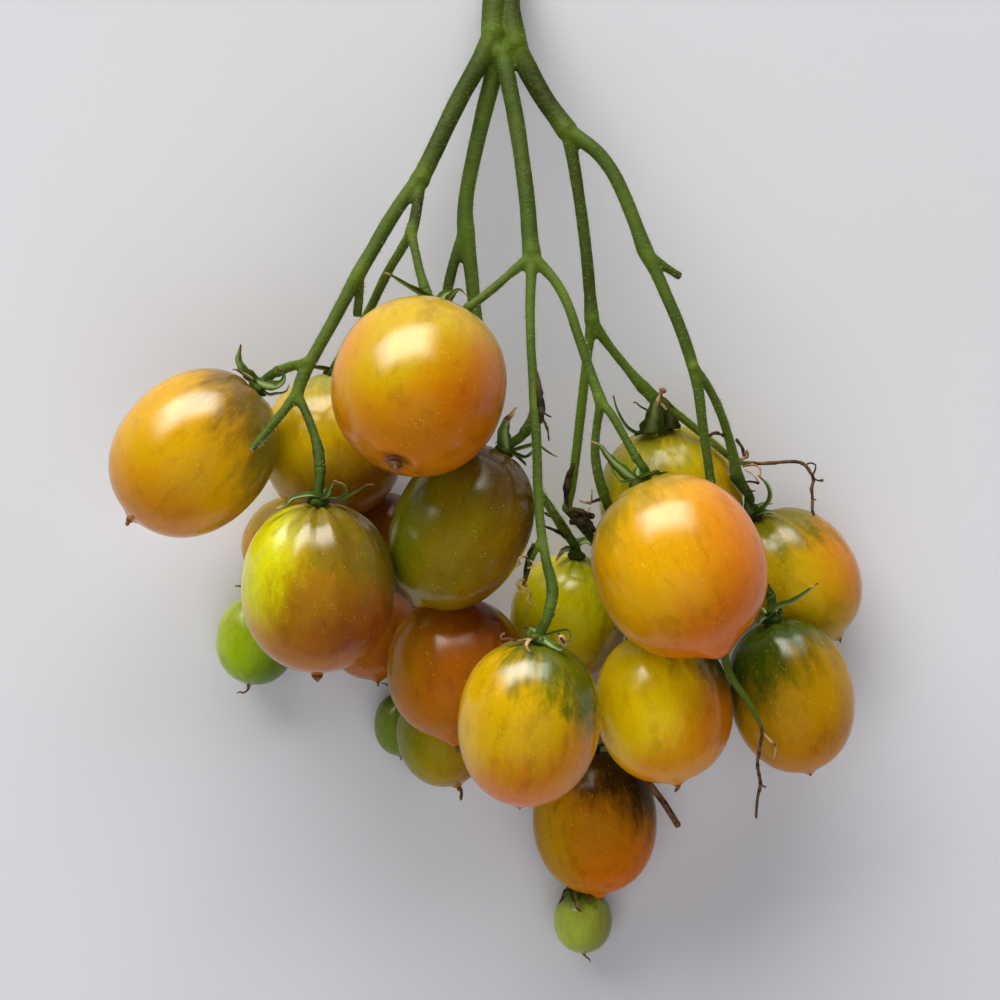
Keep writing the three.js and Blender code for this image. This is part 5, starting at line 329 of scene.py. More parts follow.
class Graph:
    def __init__(self, name):
        self.mat = bpy.data.materials.new(name)
        self.mat.use_nodes = True
        self.nt = self.mat.node_tree
        self.nt.nodes.clear()
        self.out = self.nt.nodes.new("ShaderNodeOutputMaterial")
        self.bsdf = self.nt.nodes.new("ShaderNodeBsdfPrincipled")
        self.nt.links.new(self.bsdf.outputs[0], self.out.inputs[0])

    def node(self, kind, **props):
        n = self.nt.nodes.new(kind)
        for k, v in props.items():
            setattr(n, k, v)
        return n

    def link(self, a, b):
        self.nt.links.new(a, b)

    def put(self, sock, value):
        if isinstance(value, bpy.types.NodeSocket):
            self.link(value, sock)
        else:
            sock.default_value = value

    def math(self, op, a, b=0.0, c=0.0, clamp=False):
        n = self.node("ShaderNodeMath", operation=op, use_clamp=clamp)
        for s, v in zip(n.inputs, (a, b, c)):
            self.put(s, v)
        return n.outputs[0]

    def vmath(self, op, a, b=(0, 0, 0)):
        n = self.node("ShaderNodeVectorMath", operation=op)
        self.put(n.inputs[0], a)
        if op == "SCALE":
            self.put(n.inputs[3], b)
        else:
            self.put(n.inputs[1], b)
        return n.outputs["Value"] if op in ("DOT_PRODUCT", "LENGTH") else n.outputs[0]

    def mix(self, fac, a, b, blend="MIX"):
        n = self.node("ShaderNodeMix", data_type="RGBA", blend_type=blend)
        self.put(n.inputs[0], fac)
        self.put(n.inputs[6], a)
        self.put(n.inputs[7], b)
        return n.outputs[2]

    def ramp(self, v, lo, hi, smooth=True, to=(0.0, 1.0)):
        n = self.node("ShaderNodeMapRange", interpolation_type="SMOOTHSTEP" if smooth else "LINEAR")
        self.put(n.inputs[0], v)
        self.put(n.inputs[1], lo)
        self.put(n.inputs[2], hi)
        self.put(n.inputs[3], to[0])
        self.put(n.inputs[4], to[1])
        return n.outputs[0]

    def noise(self, vec, scale, detail=2.0, rough=0.5, distort=0.0):
        n = self.node("ShaderNodeTexNoise")
        self.put(n.inputs["Vector"], vec)
        n.inputs["Scale"].default_value = scale
        n.inputs["Detail"].default_value = detail
        n.inputs["Roughness"].default_value = rough
        n.inputs["Distortion"].default_value = distort
        return n.outputs[0]

    def voronoi(self, vec, scale):
        n = self.node("ShaderNodeTexVoronoi")
        self.put(n.inputs["Vector"], vec)
        n.inputs["Scale"].default_value = scale
        return n

    def attr(self, name):
        return self.node("ShaderNodeAttribute", attribute_name=name)

    def bump(self, height, strength, distance):
        n = self.node("ShaderNodeBump")
        n.inputs["Strength"].default_value = strength
        n.inputs["Distance"].default_value = distance
        self.put(n.inputs["Height"], height)
        return n.outputs[0]


def object_from(name, verts, faces, material, attrs=None, vattrs=None, smooth=True):
    me = bpy.data.meshes.new(name)
    me.from_pydata([tuple(v) for v in verts], [], [tuple(f) for f in faces])
    me.validate(verbose=False)
    me.update()
    if smooth:
        me.shade_smooth()
    for k, v in (attrs or {}).items():
        a = me.attributes.new(k, "FLOAT", "POINT")
        a.data.foreach_set("value", np.asarray(v, np.float32))
    for k, v in (vattrs or {}).items():
        a = me.attributes.new(k, "FLOAT_VECTOR", "POINT")
        a.data.foreach_set("vector", np.asarray(v, np.float32).reshape(-1))
    me.materials.append(material)
    o = bpy.data.objects.new(name, me)
    bpy.context.scene.collection.objects.link(o)
    return o


# ---- fruit shape ----
def fruit_axes(f):
    w = -np.array(f["blossom"], float)
    w /= np.linalg.norm(w)
    u = np.cross(w, (0, 0, 1.0))
    u /= np.linalg.norm(u)
    return u, np.cross(w, u), w


def inside_q(f, p):
    """About the signed distance in mm from the plain fruit shape, positive outside."""
    u, v, w = fruit_axes(f)
    d = p - np.array(f["centre"])
    h, x, y = d @ w, d @ u, (d @ v) / f["depth"]
    rho = np.sqrt(x * x + y * y)
    t = h / f["half_length"]
    rad = f["radius"] * (1 + f["egg"] * np.clip(t, -1, 1))
    q = (np.abs(t) ** FRUIT_POWER + (rho / rad) ** FRUIT_POWER) ** (1 / FRUIT_POWER)
    q = np.maximum(q, 1e-6)
    return np.linalg.norm(d, axis=-1) * (1 - 1 / q)


def push_out(p, need, skip=()):
    p = np.array(p, float)
    for _ in range(4):
        for f in FRUITS:
            if f["id"] in skip:
                continue
            d = p - np.array(f["centre"])
            if np.linalg.norm(d) > f["half_length"] + f["radius"] * 0.3 + need + 3:
                continue
            s = inside_q(f, p[None])[0]
            if s < need:
                e = 0.2
                g = np.array([inside_q(f, (p + e * a)[None])[0] - inside_q(f, (p - e * a)[None])[0] for a in np.eye(3)])
                n = np.linalg.norm(g)
                p = p + (g / n if n > 1e-6 else np.array((0, 0, 1.0))) * (need - s)
    return p


# rib: how strongly the shoulder is ribbed, ribs: how many, dimple: depth of the stem dimple as a share of the half length
SHAPE = {
    "01": dict(rib=0.012, ribs=5, dimple=0.055, phase=0.4, furrow=30, navel=2.5),
    "02": dict(rib=0.012, ribs=5, dimple=0.04, phase=1.0, furrow=35),
    "03": dict(rib=0.034, ribs=9, dimple=0.05, phase=0.2, furrow=-8),
    "04": dict(rib=0.056, ribs=9, dimple=0.05, phase=0.95, furrow=4, sharp=1.3),
    "05": dict(rib=0.020, ribs=7, dimple=0.03, phase=0.6, furrow=-6),
    "06": dict(rib=0.010, ribs=5, dimple=0.03, phase=0.3, furrow=20),
    "07": dict(rib=0.034, ribs=9, dimple=0.04, phase=0.7, furrow=6),
    "09": dict(rib=0.026, ribs=7, dimple=0.045, phase=0.1, furrow=4, sharp=2.2),
    "11": dict(rib=0.030, ribs=8, dimple=0.05, phase=0.5, furrow=18),
    "12": dict(rib=0.040, ribs=9, dimple=0.04, phase=1.3, furrow=-2, sharp=2.4),
    "13": dict(rib=0.024, ribs=7, dimple=0.04, phase=0.2, furrow=25),
}
N_AROUND, N_ALONG = 80, 60


def fruit_mesh(f):
    """Vertices in mm in the shared frame, faces, and each vertex's place on the plain shape as numbers from -1 to 1."""
    s = SHAPE.get(f["id"], dict(rib=0.018, ribs=7, dimple=0.04, phase=0.5))
    rng = rng_of(100 + int(f["id"]))
    u, v, w = fruit_axes(f)
    L, R, k = f["half_length"], f["radius"], f["depth"]
    small = R < 12
    along = N_ALONG if not small else 40
    around = N_AROUND if not small else 56
    th = np.linspace(0, math.pi, along + 1)[:, None]
    # rings closer together near the poles
    th = th + 0.10 * np.sin(2 * th) * -1
    ph = np.linspace(0, 2 * math.pi, around, endpoint=False)[None, :]
    ct, st = np.cos(th), np.sin(th)
    h = np.sign(ct) * np.abs(ct) ** (2 / FRUIT_POWER)
    rho = np.abs(st) ** (2 / FRUIT_POWER)
    H = h * np.ones_like(ph)
    RHO = rho * np.ones_like(ph)
    fc = np.stack([RHO * np.cos(ph), RHO * np.sin(ph), H], -1)
    # ribs and low lumps only take away, so the fruit never grows into its neighbours
    def warp(a):
        return a + 0.12 * np.sin(2 * a + s["phase"] * 3)

    furrow = warp(-math.pi / 2 + math.radians(s.get("furrow", 20)))
    groove = 0.5 + 0.5 * np.cos(s["ribs"] * (warp(ph) - furrow))
    groove = groove ** s.get("sharp", 1.4) * np.ones_like(H)
    rib = s["rib"] * groove * np.clip((H + 0.25) / 1.15, 0, 1) ** 1.1
    lump = np.zeros_like(H)
    for _ in range(5):
        a = rng.normal(size=3)
        a /= np.linalg.norm(a)
        lump += rng.uniform(0.2, 1) * np.sin(2.2 * (fc @ a) + rng.uniform(0, 6.28))
    lump = (lump - lump.max()) / (np.ptp(lump) + 1e-9) * 0.018
    scale_r = 1 - rib + lump
    r_mm = RHO * R * (1 + f["egg"] * H) * scale_r
    h_mm = H * L * (1 + lump * 0.6)
    # stem dimple with a soft shoulder round it
    rr = RHO
    h_mm -= (H > 0) * L * s["dimple"] * 1.35 * np.exp(-((rr / 0.16) ** 2))
    h_mm -= (H > 0) * L * s["rib"] * 1.3 * groove * np.exp(-((rr / 0.55) ** 2)) * (rr / 0.3).clip(0, 1)
    # blossom point
    tip = f["tip"]
    wide = 0.10 if tip < 2 else 0.20
    h_mm -= (H < 0) * tip * 0.8 * np.exp(-((rr / wide) ** 2))
    navel = s.get("navel", 0.0)
    if navel:
        h_mm += (H < 0) * navel * (np.exp(-((rr / 0.10) ** 2)) - 0.25 * np.exp(-(((rr - 0.22) / 0.10) ** 2)))
        h_mm += (H < 0) * navel * 0.55 * np.exp(-((np.angle(np.exp(1j * (ph - 0.9))) / 0.16) ** 2)) * np.exp(-(((rr - 0.2) / 0.16) ** 2))
    X = r_mm * np.cos(ph)
    Y = r_mm * np.sin(ph) * k
    P = np.array(f["centre"]) + X[..., None] * u + Y[..., None] * v + h_mm[..., None] * w
    P = P.reshape(-1, 3)
    fc = fc.reshape(-1, 3)
    n = around
    faces = []
    for i in range(along):
        for j in range(n):
            a, b = i * n + j, i * n + (j + 1) % n
            c, d = a + n, b + n
            if i == 0:
                faces.append((a, c, d))
            elif i == along - 1:
                faces.append((a, c, b))
            else:
                faces.append((a, c, d, b))
    # close the poles: first and last ring collapse to one point each
    P[:n] = P[:n].mean(0)
    P[-n:] = P[-n:].mean(0)
    keep = np.arange(len(P))
    keep[:n] = 0
    keep[-n:] = len(P) - n
    faces = [tuple(int(keep[i]) for i in q) for q in faces]
    used = sorted({i for q in faces for i in q})
    index = {o: i for i, o in enumerate(used)}
    faces = [tuple(index[i] for i in q) for q in faces]
    P, fc = P[used], fc[used]
    P[:, 2] = np.maximum(P[:, 2], 0.0)
    return P, faces, fc


def add_scar(P, faces, fc, f, kind):
    """The dried remains of the flower on the blossom point: a short crooked brown spike."""
    u, v, w = fruit_axes(f)
    rng = rng_of(500 + int(f["id"]))
    base = np.array(f["centre"]) - w * (f["half_length"] + f["tip"] * 0.8 - 0.35)
    length, r0 = kind
    pts = [base]
    d = -w + rng.normal(size=3) * 0.25
    for i in range(5):
        d = d / np.linalg.norm(d)
        pts.append(pts[-1] + d * length / 5)
        d = d + rng.normal(size=3) * 0.55
    pts = np.array(pts)
    rad = r0 * np.array([1.5, 0.9, 0.7, 0.75, 0.6, 0.35])
    tp, tf = tube_mesh(pts, rad, 6)
    if tp[:, 2].min() < 0:
        tp[:, 2] = np.maximum(tp[:, 2], 0.0)
    n = len(P)
    scar = np.r_[np.zeros(n), np.ones(len(tp))]
    P = np.vstack([P, tp])
    fc = np.vstack([fc, np.tile([[0, 0, -1.0]], (len(tp), 1))])
    faces = faces + [tuple(i + n for i in q) for q in tf]
    return P, faces, fc, scar


# ---- tubes ----
def smooth_path(pts, rad, step):
    """A smooth curve through the points, with the radius carried along."""
    pts = np.asarray(pts, float)
    rad = np.asarray(rad, float)
    seg = np.linalg.norm(np.diff(pts, axis=0), axis=1)
    p = np.vstack([2 * pts[0] - pts[1], pts, 2 * pts[-1] - pts[-2]])
    out, r, u = [], [], []
    total = np.r_[0, np.cumsum(seg)]
    for i in range(len(pts) - 1):
        n = max(1, int(math.ceil(seg[i] / step)))
        p0, p1, p2, p3 = p[i], p[i + 1], p[i + 2], p[i + 3]
        t0 = 0.0
        t1 = t0 + math.sqrt(max(np.linalg.norm(p1 - p0), 1e-6))
        t2 = t1 + math.sqrt(max(np.linalg.norm(p2 - p1), 1e-6))
        t3 = t2 + math.sqrt(max(np.linalg.norm(p3 - p2), 1e-6))
        for j in range(n + (i == len(pts) - 2)):
            s = j / n
            t = t1 + (t2 - t1) * s
            a1 = (t1 - t) / (t1 - t0) * p0 + (t - t0) / (t1 - t0) * p1
            a2 = (t2 - t) / (t2 - t1) * p1 + (t - t1) / (t2 - t1) * p2
            a3 = (t3 - t) / (t3 - t2) * p2 + (t - t2) / (t3 - t2) * p3
            b1 = (t2 - t) / (t2 - t0) * a1 + (t - t0) / (t2 - t0) * a2
            b2 = (t3 - t) / (t3 - t1) * a2 + (t - t1) / (t3 - t1) * a3
            out.append((t2 - t) / (t2 - t1) * b1 + (t - t1) / (t2 - t1) * b2)
            r.append(rad[i] * (1 - s) + rad[i + 1] * s)
            u.append((total[i] + seg[i] * s) / max(total[-1], 1e-9))
    return np.array(out), np.array(r), np.array(u)


def frames_along(pts, side=None):
    tan = np.gradient(pts, axis=0)
    tan /= np.maximum(np.linalg.norm(tan, axis=1)[:, None], 1e-9)
    out = []
    for i, t in enumerate(tan):
        if side is None:
            side = np.array((0, 0, 1.0)) if abs(t[2]) < 0.95 else np.array((1.0, 0, 0))
        side = side - t * (side @ t)
        n = np.linalg.norm(side)
        side = side / n if n > 1e-6 else np.array((t[1], -t[0], 0.01))
        side = side / np.linalg.norm(side)
        out.append((side, np.cross(t, side)))
    return tan, out


def tube_mesh(pts, rad, sides):
    tan, fr = frames_along(np.asarray(pts, float))
    V = []
    for p, r, (a, b) in zip(pts, rad, fr):
        for j in range(sides):
            t = 2 * math.pi * j / sides
            V.append(p + r * (a * math.cos(t) + b * math.sin(t)))
    n = len(pts)
    F = []
    for i in range(n - 1):
        for j in range(sides):
            a0, a1 = i * sides + j, i * sides + (j + 1) % sides
            F.append((a0, a1, a1 + sides, a0 + sides))
    V.append(np.array(pts[0]))
    V.append(np.array(pts[-1]))
    s0, s1 = len(V) - 2, len(V) - 1
    for j in range(sides):
        F.append((s0, (j + 1) % sides, j))
        F.append((s1, (n - 1) * sides + j, (n - 1) * sides + (j + 1) % sides))
    return np.array(V), F


def ball_mesh(c, r, squash=1.0, axis=None, n=10):
    V, F = [], []
    axis = np.array((0, 0, 1.0)) if axis is None else np.asarray(axis, float) / np.linalg.norm(axis)
    a = np.cross(axis, (0.3, 0.9, 0.2))
    a /= np.linalg.norm(a)
    b = np.cross(axis, a)
    m = n // 2 + 1
    for i in range(1, m):
        t = math.pi * i / m
        for j in range(n):
            p = 2 * math.pi * j / n
            V.append(np.array(c) + r * (math.sin(t) * (a * math.cos(p) + b * math.sin(p)) + squash * axis * math.cos(t)))
    for i in range(m - 2):
        for j in range(n):
            q = (i * n + j, i * n + (j + 1) % n, (i + 1) * n + (j + 1) % n, (i + 1) * n + j)
            F.append(q[::-1])
    top, bottom, last = (m - 1) * n, (m - 1) * n + 1, (m - 2) * n
    V += [np.array(c) + r * squash * axis, np.array(c) - r * squash * axis]
    for j in range(n):
        F.append((j, (j + 1) % n, top))
        F.append((last + (j + 1) % n, last + j, bottom))
    return np.array(V), F


def joined(parts):
    V, F, n = [], [], 0
    for v, f in parts:
        V.append(v)
        F += [tuple(i + n for i in q) for q in f]
        n += len(v)
    return np.vstack(V), F


# ---- colours ----
# Each fruit: a body tone, then lobes laid over it. A lobe: tone, direction (right, away from the viewer, to the stem), where it starts, how soft, how streaky.
def lobe(tone, direction, start, soft=0.35, streak=0.25, amount=1.0):
    return dict(tone=tone, dir=direction, start=start, soft=soft, streak=streak, amount=amount)


LOOK = {
    "01": dict(body=(196, 158, 4), lobes=[lobe((190, 98, 6), (0.80, 0, -0.40), 0.34, 0.45, 0.15), lobe((206, 132, 6), (-0.85, 0, -0.25), 0.72, 0.25, 0.1, 0.85), lobe((204, 118, 8), (0.0, 0.0, -1), 0.66, 0.32, 0.1, 0.9), lobe((170, 140, 30), (0.15, -0.2, 0.9), 0.74, 0.3, 0.5, 0.8)], streak=((140, 130, 6), 0.65), seed=1.0),
    "02": dict(body=(204, 152, 4), lobes=[lobe((206, 118, 6), (0.2, 0, -0.9), 0.55, 0.4, 0.12, 0.75), lobe((110, 84, 26), (0.20, 0, 0.98), 0.50, 0.32, 0.35), lobe((128, 122, 28), (0.75, 0, 0.66), 0.84, 0.24, 0.35)], streak=((150, 132, 12), 0.35), seed=2.3),
    "03": dict(body=(196, 160, 4), lobes=[lobe((140, 82, 6), (0.55, 0, -0.75), 0.36, 0.5, 0.2), lobe((146, 140, 50), (0, 0, 1), 0.62, 0.32, 0.4)], streak=((130, 134, 12), 0.5), seed=3.1),
    "04": dict(body=(160, 110, 10), lobes=[lobe((208, 204, 4), (-0.86, -0.05, 0.48), 0.44, 0.36, 0.25), lobe((138, 66, 22), (0.62, 0, -0.72), 0.36, 0.42, 0.30), lobe((188, 116, 16), (-0.3, 0, -1), 0.60, 0.35, 0.15, 0.8), lobe((120, 104, 22), (0.55, 0, 0.84), 0.46, 0.34, 0.40, 0.95)], streak=((110, 108, 8), 0.6), seed=4.7),
    "05": dict(body=(126, 106, 5), lobes=[lobe((140, 94, 4), (0.95, 0, 0.10), 0.50, 0.4, 0.25, 0.8), lobe((98, 104, 8), (-0.8, 0, -0.3), 0.55, 0.4, 0.2), lobe((88, 62, 22), (0.25, 0, 1), 0.44, 0.45, 0.3)], streak=((82, 80, 6), 0.5), seed=5.9),
    "06": dict(body=(218, 160, 4), lobes=[lobe((218, 120, 22), (0.85, 0, -0.35), 0.34, 0.55, 0.1), lobe((214, 104, 8), (0.1, 0, -1), 0.60, 0.4, 0.1), lobe((150, 126, 20), (-0.2, 0, 1), 0.66, 0.33, 0.4)], streak=((178, 136, 8), 0.4), seed=6.2),
    "07": dict(body=(206, 178, 8), lobes=[lobe((198, 148, 8), (0.9, 0, -0.2), 0.55, 0.4, 0.2), lobe((138, 130, 26), (-0.5, 0, 0.85), 0.50, 0.4, 0.5)], streak=((136, 136, 24), 0.6), seed=7.4),
    "08": dict(body=(162, 88, 6), lobes=[lobe((168, 112, 6), (-0.9, 0, 0.15), 0.45, 0.45, 0.2), lobe((118, 52, 6), (0.6, 0, 0.75), 0.50, 0.45, 0.15), lobe((182, 108, 14), (-0.1, 0, -1), 0.62, 0.35, 0.1)], streak=((128, 76, 8), 0.35), seed=8.6),
    "09": dict(body=(206, 162, 4), lobes=[lobe((214, 108, 8), (0.25, 0, -0.95), 0.44, 0.5, 0.25), lobe((208, 128, 14), (0.95, 0, -0.25), 0.55, 0.3, 0.1, 0.9), lobe((78, 92, 10), (0.36, -0.1, 0.93), 0.56, 0.30, 0.5)], streak=((120, 112, 6), 0.6), seed=9.1),
    "10": dict(body=(224, 190, 4), lobes=[lobe((202, 106, 8), (0.8, 0, -0.45), 0.40, 0.45, 0.2), lobe((220, 140, 6), (0, 0, -1), 0.60, 0.32, 0.15), lobe((70, 60, 6), (0.62, 0, 0.86), 0.60, 0.30, 0.3)], streak=((156, 144, 6), 0.4), seed=10.3),
    "11": dict(body=(182, 134, 4), lobes=[lobe((194, 120, 10), (0.2, 0, -1), 0.6, 0.45, 0.15), lobe((44, 72, 8), (-0.30, 0, 0.95), 0.28, 0.46, 0.35)], streak=((78, 92, 6), 0.7), seed=11.8),
    "12": dict(body=(192, 156, 6), lobes=[lobe((208, 126, 22), (0.95, 0, -0.1), 0.42, 0.5, 0.2), lobe((92, 96, 14), (0.1, 0, 1), 0.42, 0.42, 0.55, 0.9)], streak=((80, 84, 8), 0.85), seed=12.5),
    "13": dict(body=(212, 200, 4), lobes=[lobe((190, 136, 4), (0.1, 0, -1), 0.44, 0.5, 0.2), lobe((150, 92, 6), (0.95, 0, -0.2), 0.62, 0.35, 0.15, 0.8), lobe((70, 112, 8), (0.75, 0, 0.7), 0.72, 0.3, 0.4)], streak=((150, 152, 6), 0.4), seed=13.3),
    # tomato_14: the dark lobe at the top is partly its dark shoulder and partly painted shade where tomato_09 and
    # tomato_10 shade it
    "14": dict(body=(176, 112, 8), lobes=[lobe((206, 106, 8), (0.2, 0, -0.95), 0.40, 0.5, 0.15), lobe((178, 134, 6), (-0.95, 0, -0.1), 0.50, 0.4, 0.2), lobe((44, 31, 8), (0.36, 0, 0.93), 0.32, 0.40, 0.35)], streak=((104, 70, 8), 0.7), seed=14.9),
    "15": dict(body=(166, 180, 62), lobes=[lobe((136, 138, 50), (0.7, 0, -0.5), 0.35, 0.5, 0.2), lobe((112, 142, 34), (0, 0, 1), 0.6, 0.35, 0.4)], streak=((92, 124, 20), 0.8), seed=15.2),
    "16": dict(body=(150, 180, 14), lobes=[lobe((90, 116, 16), (0.6, 0, -0.3), 0.30, 0.5, 0.3), lobe((180, 196, 40), (-0.8, 0, 0.3), 0.6, 0.4, 0.2)], streak=((96, 132, 14), 0.6), seed=16.4),
    "17": dict(body=(164, 90, 10), lobes=[lobe((200, 126, 12), (-0.6, 0, 0.5), 0.5, 0.5, 0.2)], streak=((120, 66, 8), 0.3), seed=17.6),
    "18": dict(body=(104, 124, 40), lobes=[lobe((78, 96, 20), (0.3, 0, 0.7), 0.3, 0.4, 0.7)], streak=((64, 86, 16), 0.8), seed=18.1),
    "19": dict(body=(162, 142, 8), lobes=[lobe((154, 108, 12), (0.7, 0, -0.6), 0.4, 0.5, 0.2), lobe((118, 122, 14), (-0.8, 0, 0.5), 0.4, 0.5, 0.3)], streak=((116, 122, 8), 0.5), seed=19.7),
    "20": dict(body=(206, 150, 8), lobes=[lobe((170, 146, 28), (-0.6, 0, 0.7), 0.5, 0.4, 0.3)], streak=((170, 126, 12), 0.3), seed=20.2),
    "21": dict(body=(140, 78, 8), lobes=[lobe((100, 56, 8), (0.6, 0, 0.4), 0.4, 0.5, 0.2)], streak=((100, 54, 6), 0.3), seed=21.5),
}
SCARS = {  # length mm, thickness mm
    "01": (1.7, 1.25), "02": (2.2, 0.8), "04": (5.2, 1.05), "05": (1.0, 0.4), "06": (0.5, 0.35), "08": (2.2, 0.9), "10": (1.8, 0.65), "15": (3.0, 0.35),
    "16": (4.6, 0.42), "18": (1.4, 0.3), "19": (4.8, 0.6), "07": (1.2, 0.4), "11": (1.0, 0.4), "12": (1.0, 0.4), "14": (1.0, 0.4), "09": (0.7, 0.4), "17": (1.5, 0.4), "20": (1.5, 0.4), "21": (1.5, 0.4), "03": (1.5, 0.4), "13": (1.2, 0.4),
}


# how strongly a skin shines, against the others
GLOSS = {"14": 0.2, "07": 0.5, "08": 0.75, "11": 0.8, "03": 0.8, "05": 1.5, "09": 1.3, "02": 1.2, "12": 0.8}


def fruit_material(fid):
    look = LOOK[fid]
    g = Graph("skin_" + fid)
    fc = g.attr("fc").outputs["Vector"]
    sep = g.node("ShaderNodeSeparateXYZ")
    g.link(fc, sep.inputs[0])
    x, y, z = sep.outputs
    seed = look["seed"]
    # coordinates that run along the meridians: direction round the axis, and a slow drift along it
    flat = g.node("ShaderNodeCombineXYZ")
    g.link(x, flat.inputs[0])
    g.link(y, flat.inputs[1])
    unit = g.vmath("NORMALIZE", flat.outputs[0])
    drift = g.node("ShaderNodeCombineXYZ")
    g.put(drift.inputs[2], g.math("MULTIPLY_ADD", z, 0.55, seed))
    mer = g.vmath("ADD", unit, drift.outputs[0])
    streak = g.noise(mer, 3.4, 3.0, 0.62)
    streak_fine = g.noise(mer, 8.5, 3.0, 0.65)
    cloud = g.noise(g.vmath("ADD", fc, (seed, 0, 0)), 1.7, 3.0, 0.55)
    s_mix = g.math("MULTIPLY_ADD", streak_fine, 0.45, g.math("MULTIPLY", streak, 0.75))
    s_mix = g.math("SUBTRACT", s_mix, 0.6)
    c_mix = g.math("SUBTRACT", cloud, 0.5)
    col = srgb(*look["body"])
    # slow drift of the body tone
    col = g.mix(g.ramp(cloud, 0.35, 0.7, to=(0.0, 0.28)), col, tuple(min(1.0, c * 1.28) for c in col[:3]) + (1.0,))
    for lb in look["lobes"]:
        d = np.array(lb["dir"], float)
        d /= np.linalg.norm(d)
        v = g.vmath("DOT_PRODUCT", fc, tuple(d))
        v = g.math("MULTIPLY_ADD", s_mix, lb["streak"] * 3.0, v)
        v = g.math("MULTIPLY_ADD", c_mix, 0.5, v)
        m = g.ramp(v, lb["start"] - lb["soft"], lb["start"] + lb["soft"], to=(0.0, lb["amount"]))
        col = g.mix(m, col, srgb(*lb["tone"]))
    # darker lines running down from the shoulder
    tone, amount = look["streak"]
    lines = g.noise(mer, 6.0, 4.0, 0.7, 0.35)
    lines = g.ramp(lines, 0.54, 0.68)
    env = g.math("MULTIPLY", g.ramp(z, -0.35, 0.55), g.ramp(z, 1.15, 0.7))
    broken = g.ramp(g.noise(g.vmath("MULTIPLY", fc, (3.0, 3.0, 1.6)), 1.3, 3.0, 0.6), 0.42, 0.62)
    m = g.math("MULTIPLY", g.math("MULTIPLY", lines, env), g.math("MULTIPLY", broken, amount))
    col = g.mix(m, col, srgb(*tone))
    # blotches drawn out along the meridians, rusty where the skin is ripe
    blot = g.noise(g.vmath("ADD", g.vmath("MULTIPLY", fc, (4.2, 4.2, 2.4)), (seed, 1.0, 0.0)), 1.0, 5.0, 0.66)
    col = g.mix(g.ramp(blot, 0.50, 0.68, to=(0.0, 0.50)), col, (0.66, 0.56, 0.60, 1.0), blend="MULTIPLY")
    col = g.mix(g.ramp(blot, 0.46, 0.30, to=(0.0, 0.30)), col, (1.30, 1.26, 1.10, 1.0), blend="MULTIPLY")
    # pale flecks and a few darker pores
    fl = g.voronoi(g.vmath("MULTIPLY", fc, (1.0, 1.0, 0.8)), 28.0)
    dot = g.ramp(fl.outputs["Distance"], 0.22, 0.09)
    pick = g.ramp(g.noise(fc, 9.0, 1.0), 0.45, 0.7, to=(0.0, 0.75))
    col = g.mix(g.math("MULTIPLY", dot, pick), col, srgb(246, 214, 120))
    fd = g.voronoi(g.vmath("ADD", fc, (4.0, 2.0, seed)), 15.0)
    dotd = g.ramp(fd.outputs["Distance"], 0.075, 0.03, to=(0.0, 0.55))
    col = g.mix(dotd, col, srgb(96, 62, 14))
    # fine mottling
    mott = g.noise(fc, 26.0, 3.0, 0.6)
    col = g.mix(g.ramp(mott, 0.3, 0.75, to=(0.0, 0.16)), col, tuple(c * 0.55 for c in col_of(look["body"])) + (1.0,))
    # stem dimple goes green-brown, blossom point goes brown
    rr = g.vmath("LENGTH", flat.outputs[0])
    stem = g.math("MULTIPLY", g.ramp(rr, 0.20, 0.06), g.ramp(z, 0.0, 0.3))
    col = g.mix(g.math("MULTIPLY", stem, 0.55), col, srgb(92, 96, 28))
    big = 2.6 if fid == "01" else 1.0
    rr_n = g.math("MULTIPLY_ADD", g.math("SUBTRACT", g.noise(fc, 14.0, 2.0), 0.5), 0.10 * big, rr)
    point = g.math("MULTIPLY", g.ramp(rr_n, 0.085 * big, 0.035 * big), g.ramp(z, 0.0, -0.3))
    col = g.mix(g.math("MULTIPLY", point, 0.85), col, g.mix(g.noise(fc, 40.0, 2.0), srgb(84, 40, 18), srgb(168, 104, 60)))
    scar = g.attr("scar").outputs["Fac"]
    scar_tone = g.mix(g.noise(g.node("ShaderNodeTexCoord").outputs["Object"], 900.0, 3.0), srgb(70, 40, 20), srgb(150, 104, 62))
    col = g.mix(scar, col, scar_tone)
    g.link(col, g.bsdf.inputs["Base Color"])
    rough = g.ramp(g.noise(fc, 3.0, 3.0), 0.3, 0.7, to=(0.14, 0.20))
    rough = g.math("ADD", rough, g.math("MULTIPLY", scar, 0.45), clamp=True)
    g.link(rough, g.bsdf.inputs["Roughness"])
    g.bsdf.inputs["IOR"].default_value = 1.42
    g.bsdf.inputs["Specular IOR Level"].default_value = 0.4 * GLOSS.get(fid, 1.0)
    g.bsdf.inputs["Coat Weight"].default_value = 0.0
    g.bsdf.inputs["Coat Roughness"].default_value = 0.17
    h = g.math("ADD", g.noise(fc, 90.0, 2.0), g.math("MULTIPLY", g.noise(fc, 7.0, 2.0), 1.5))
    g.link(g.bump(h, 0.05, 0.0004), g.bsdf.inputs["Normal"])
    return g.mat


def col_of(rgb):
    return srgb(*rgb)[:3]


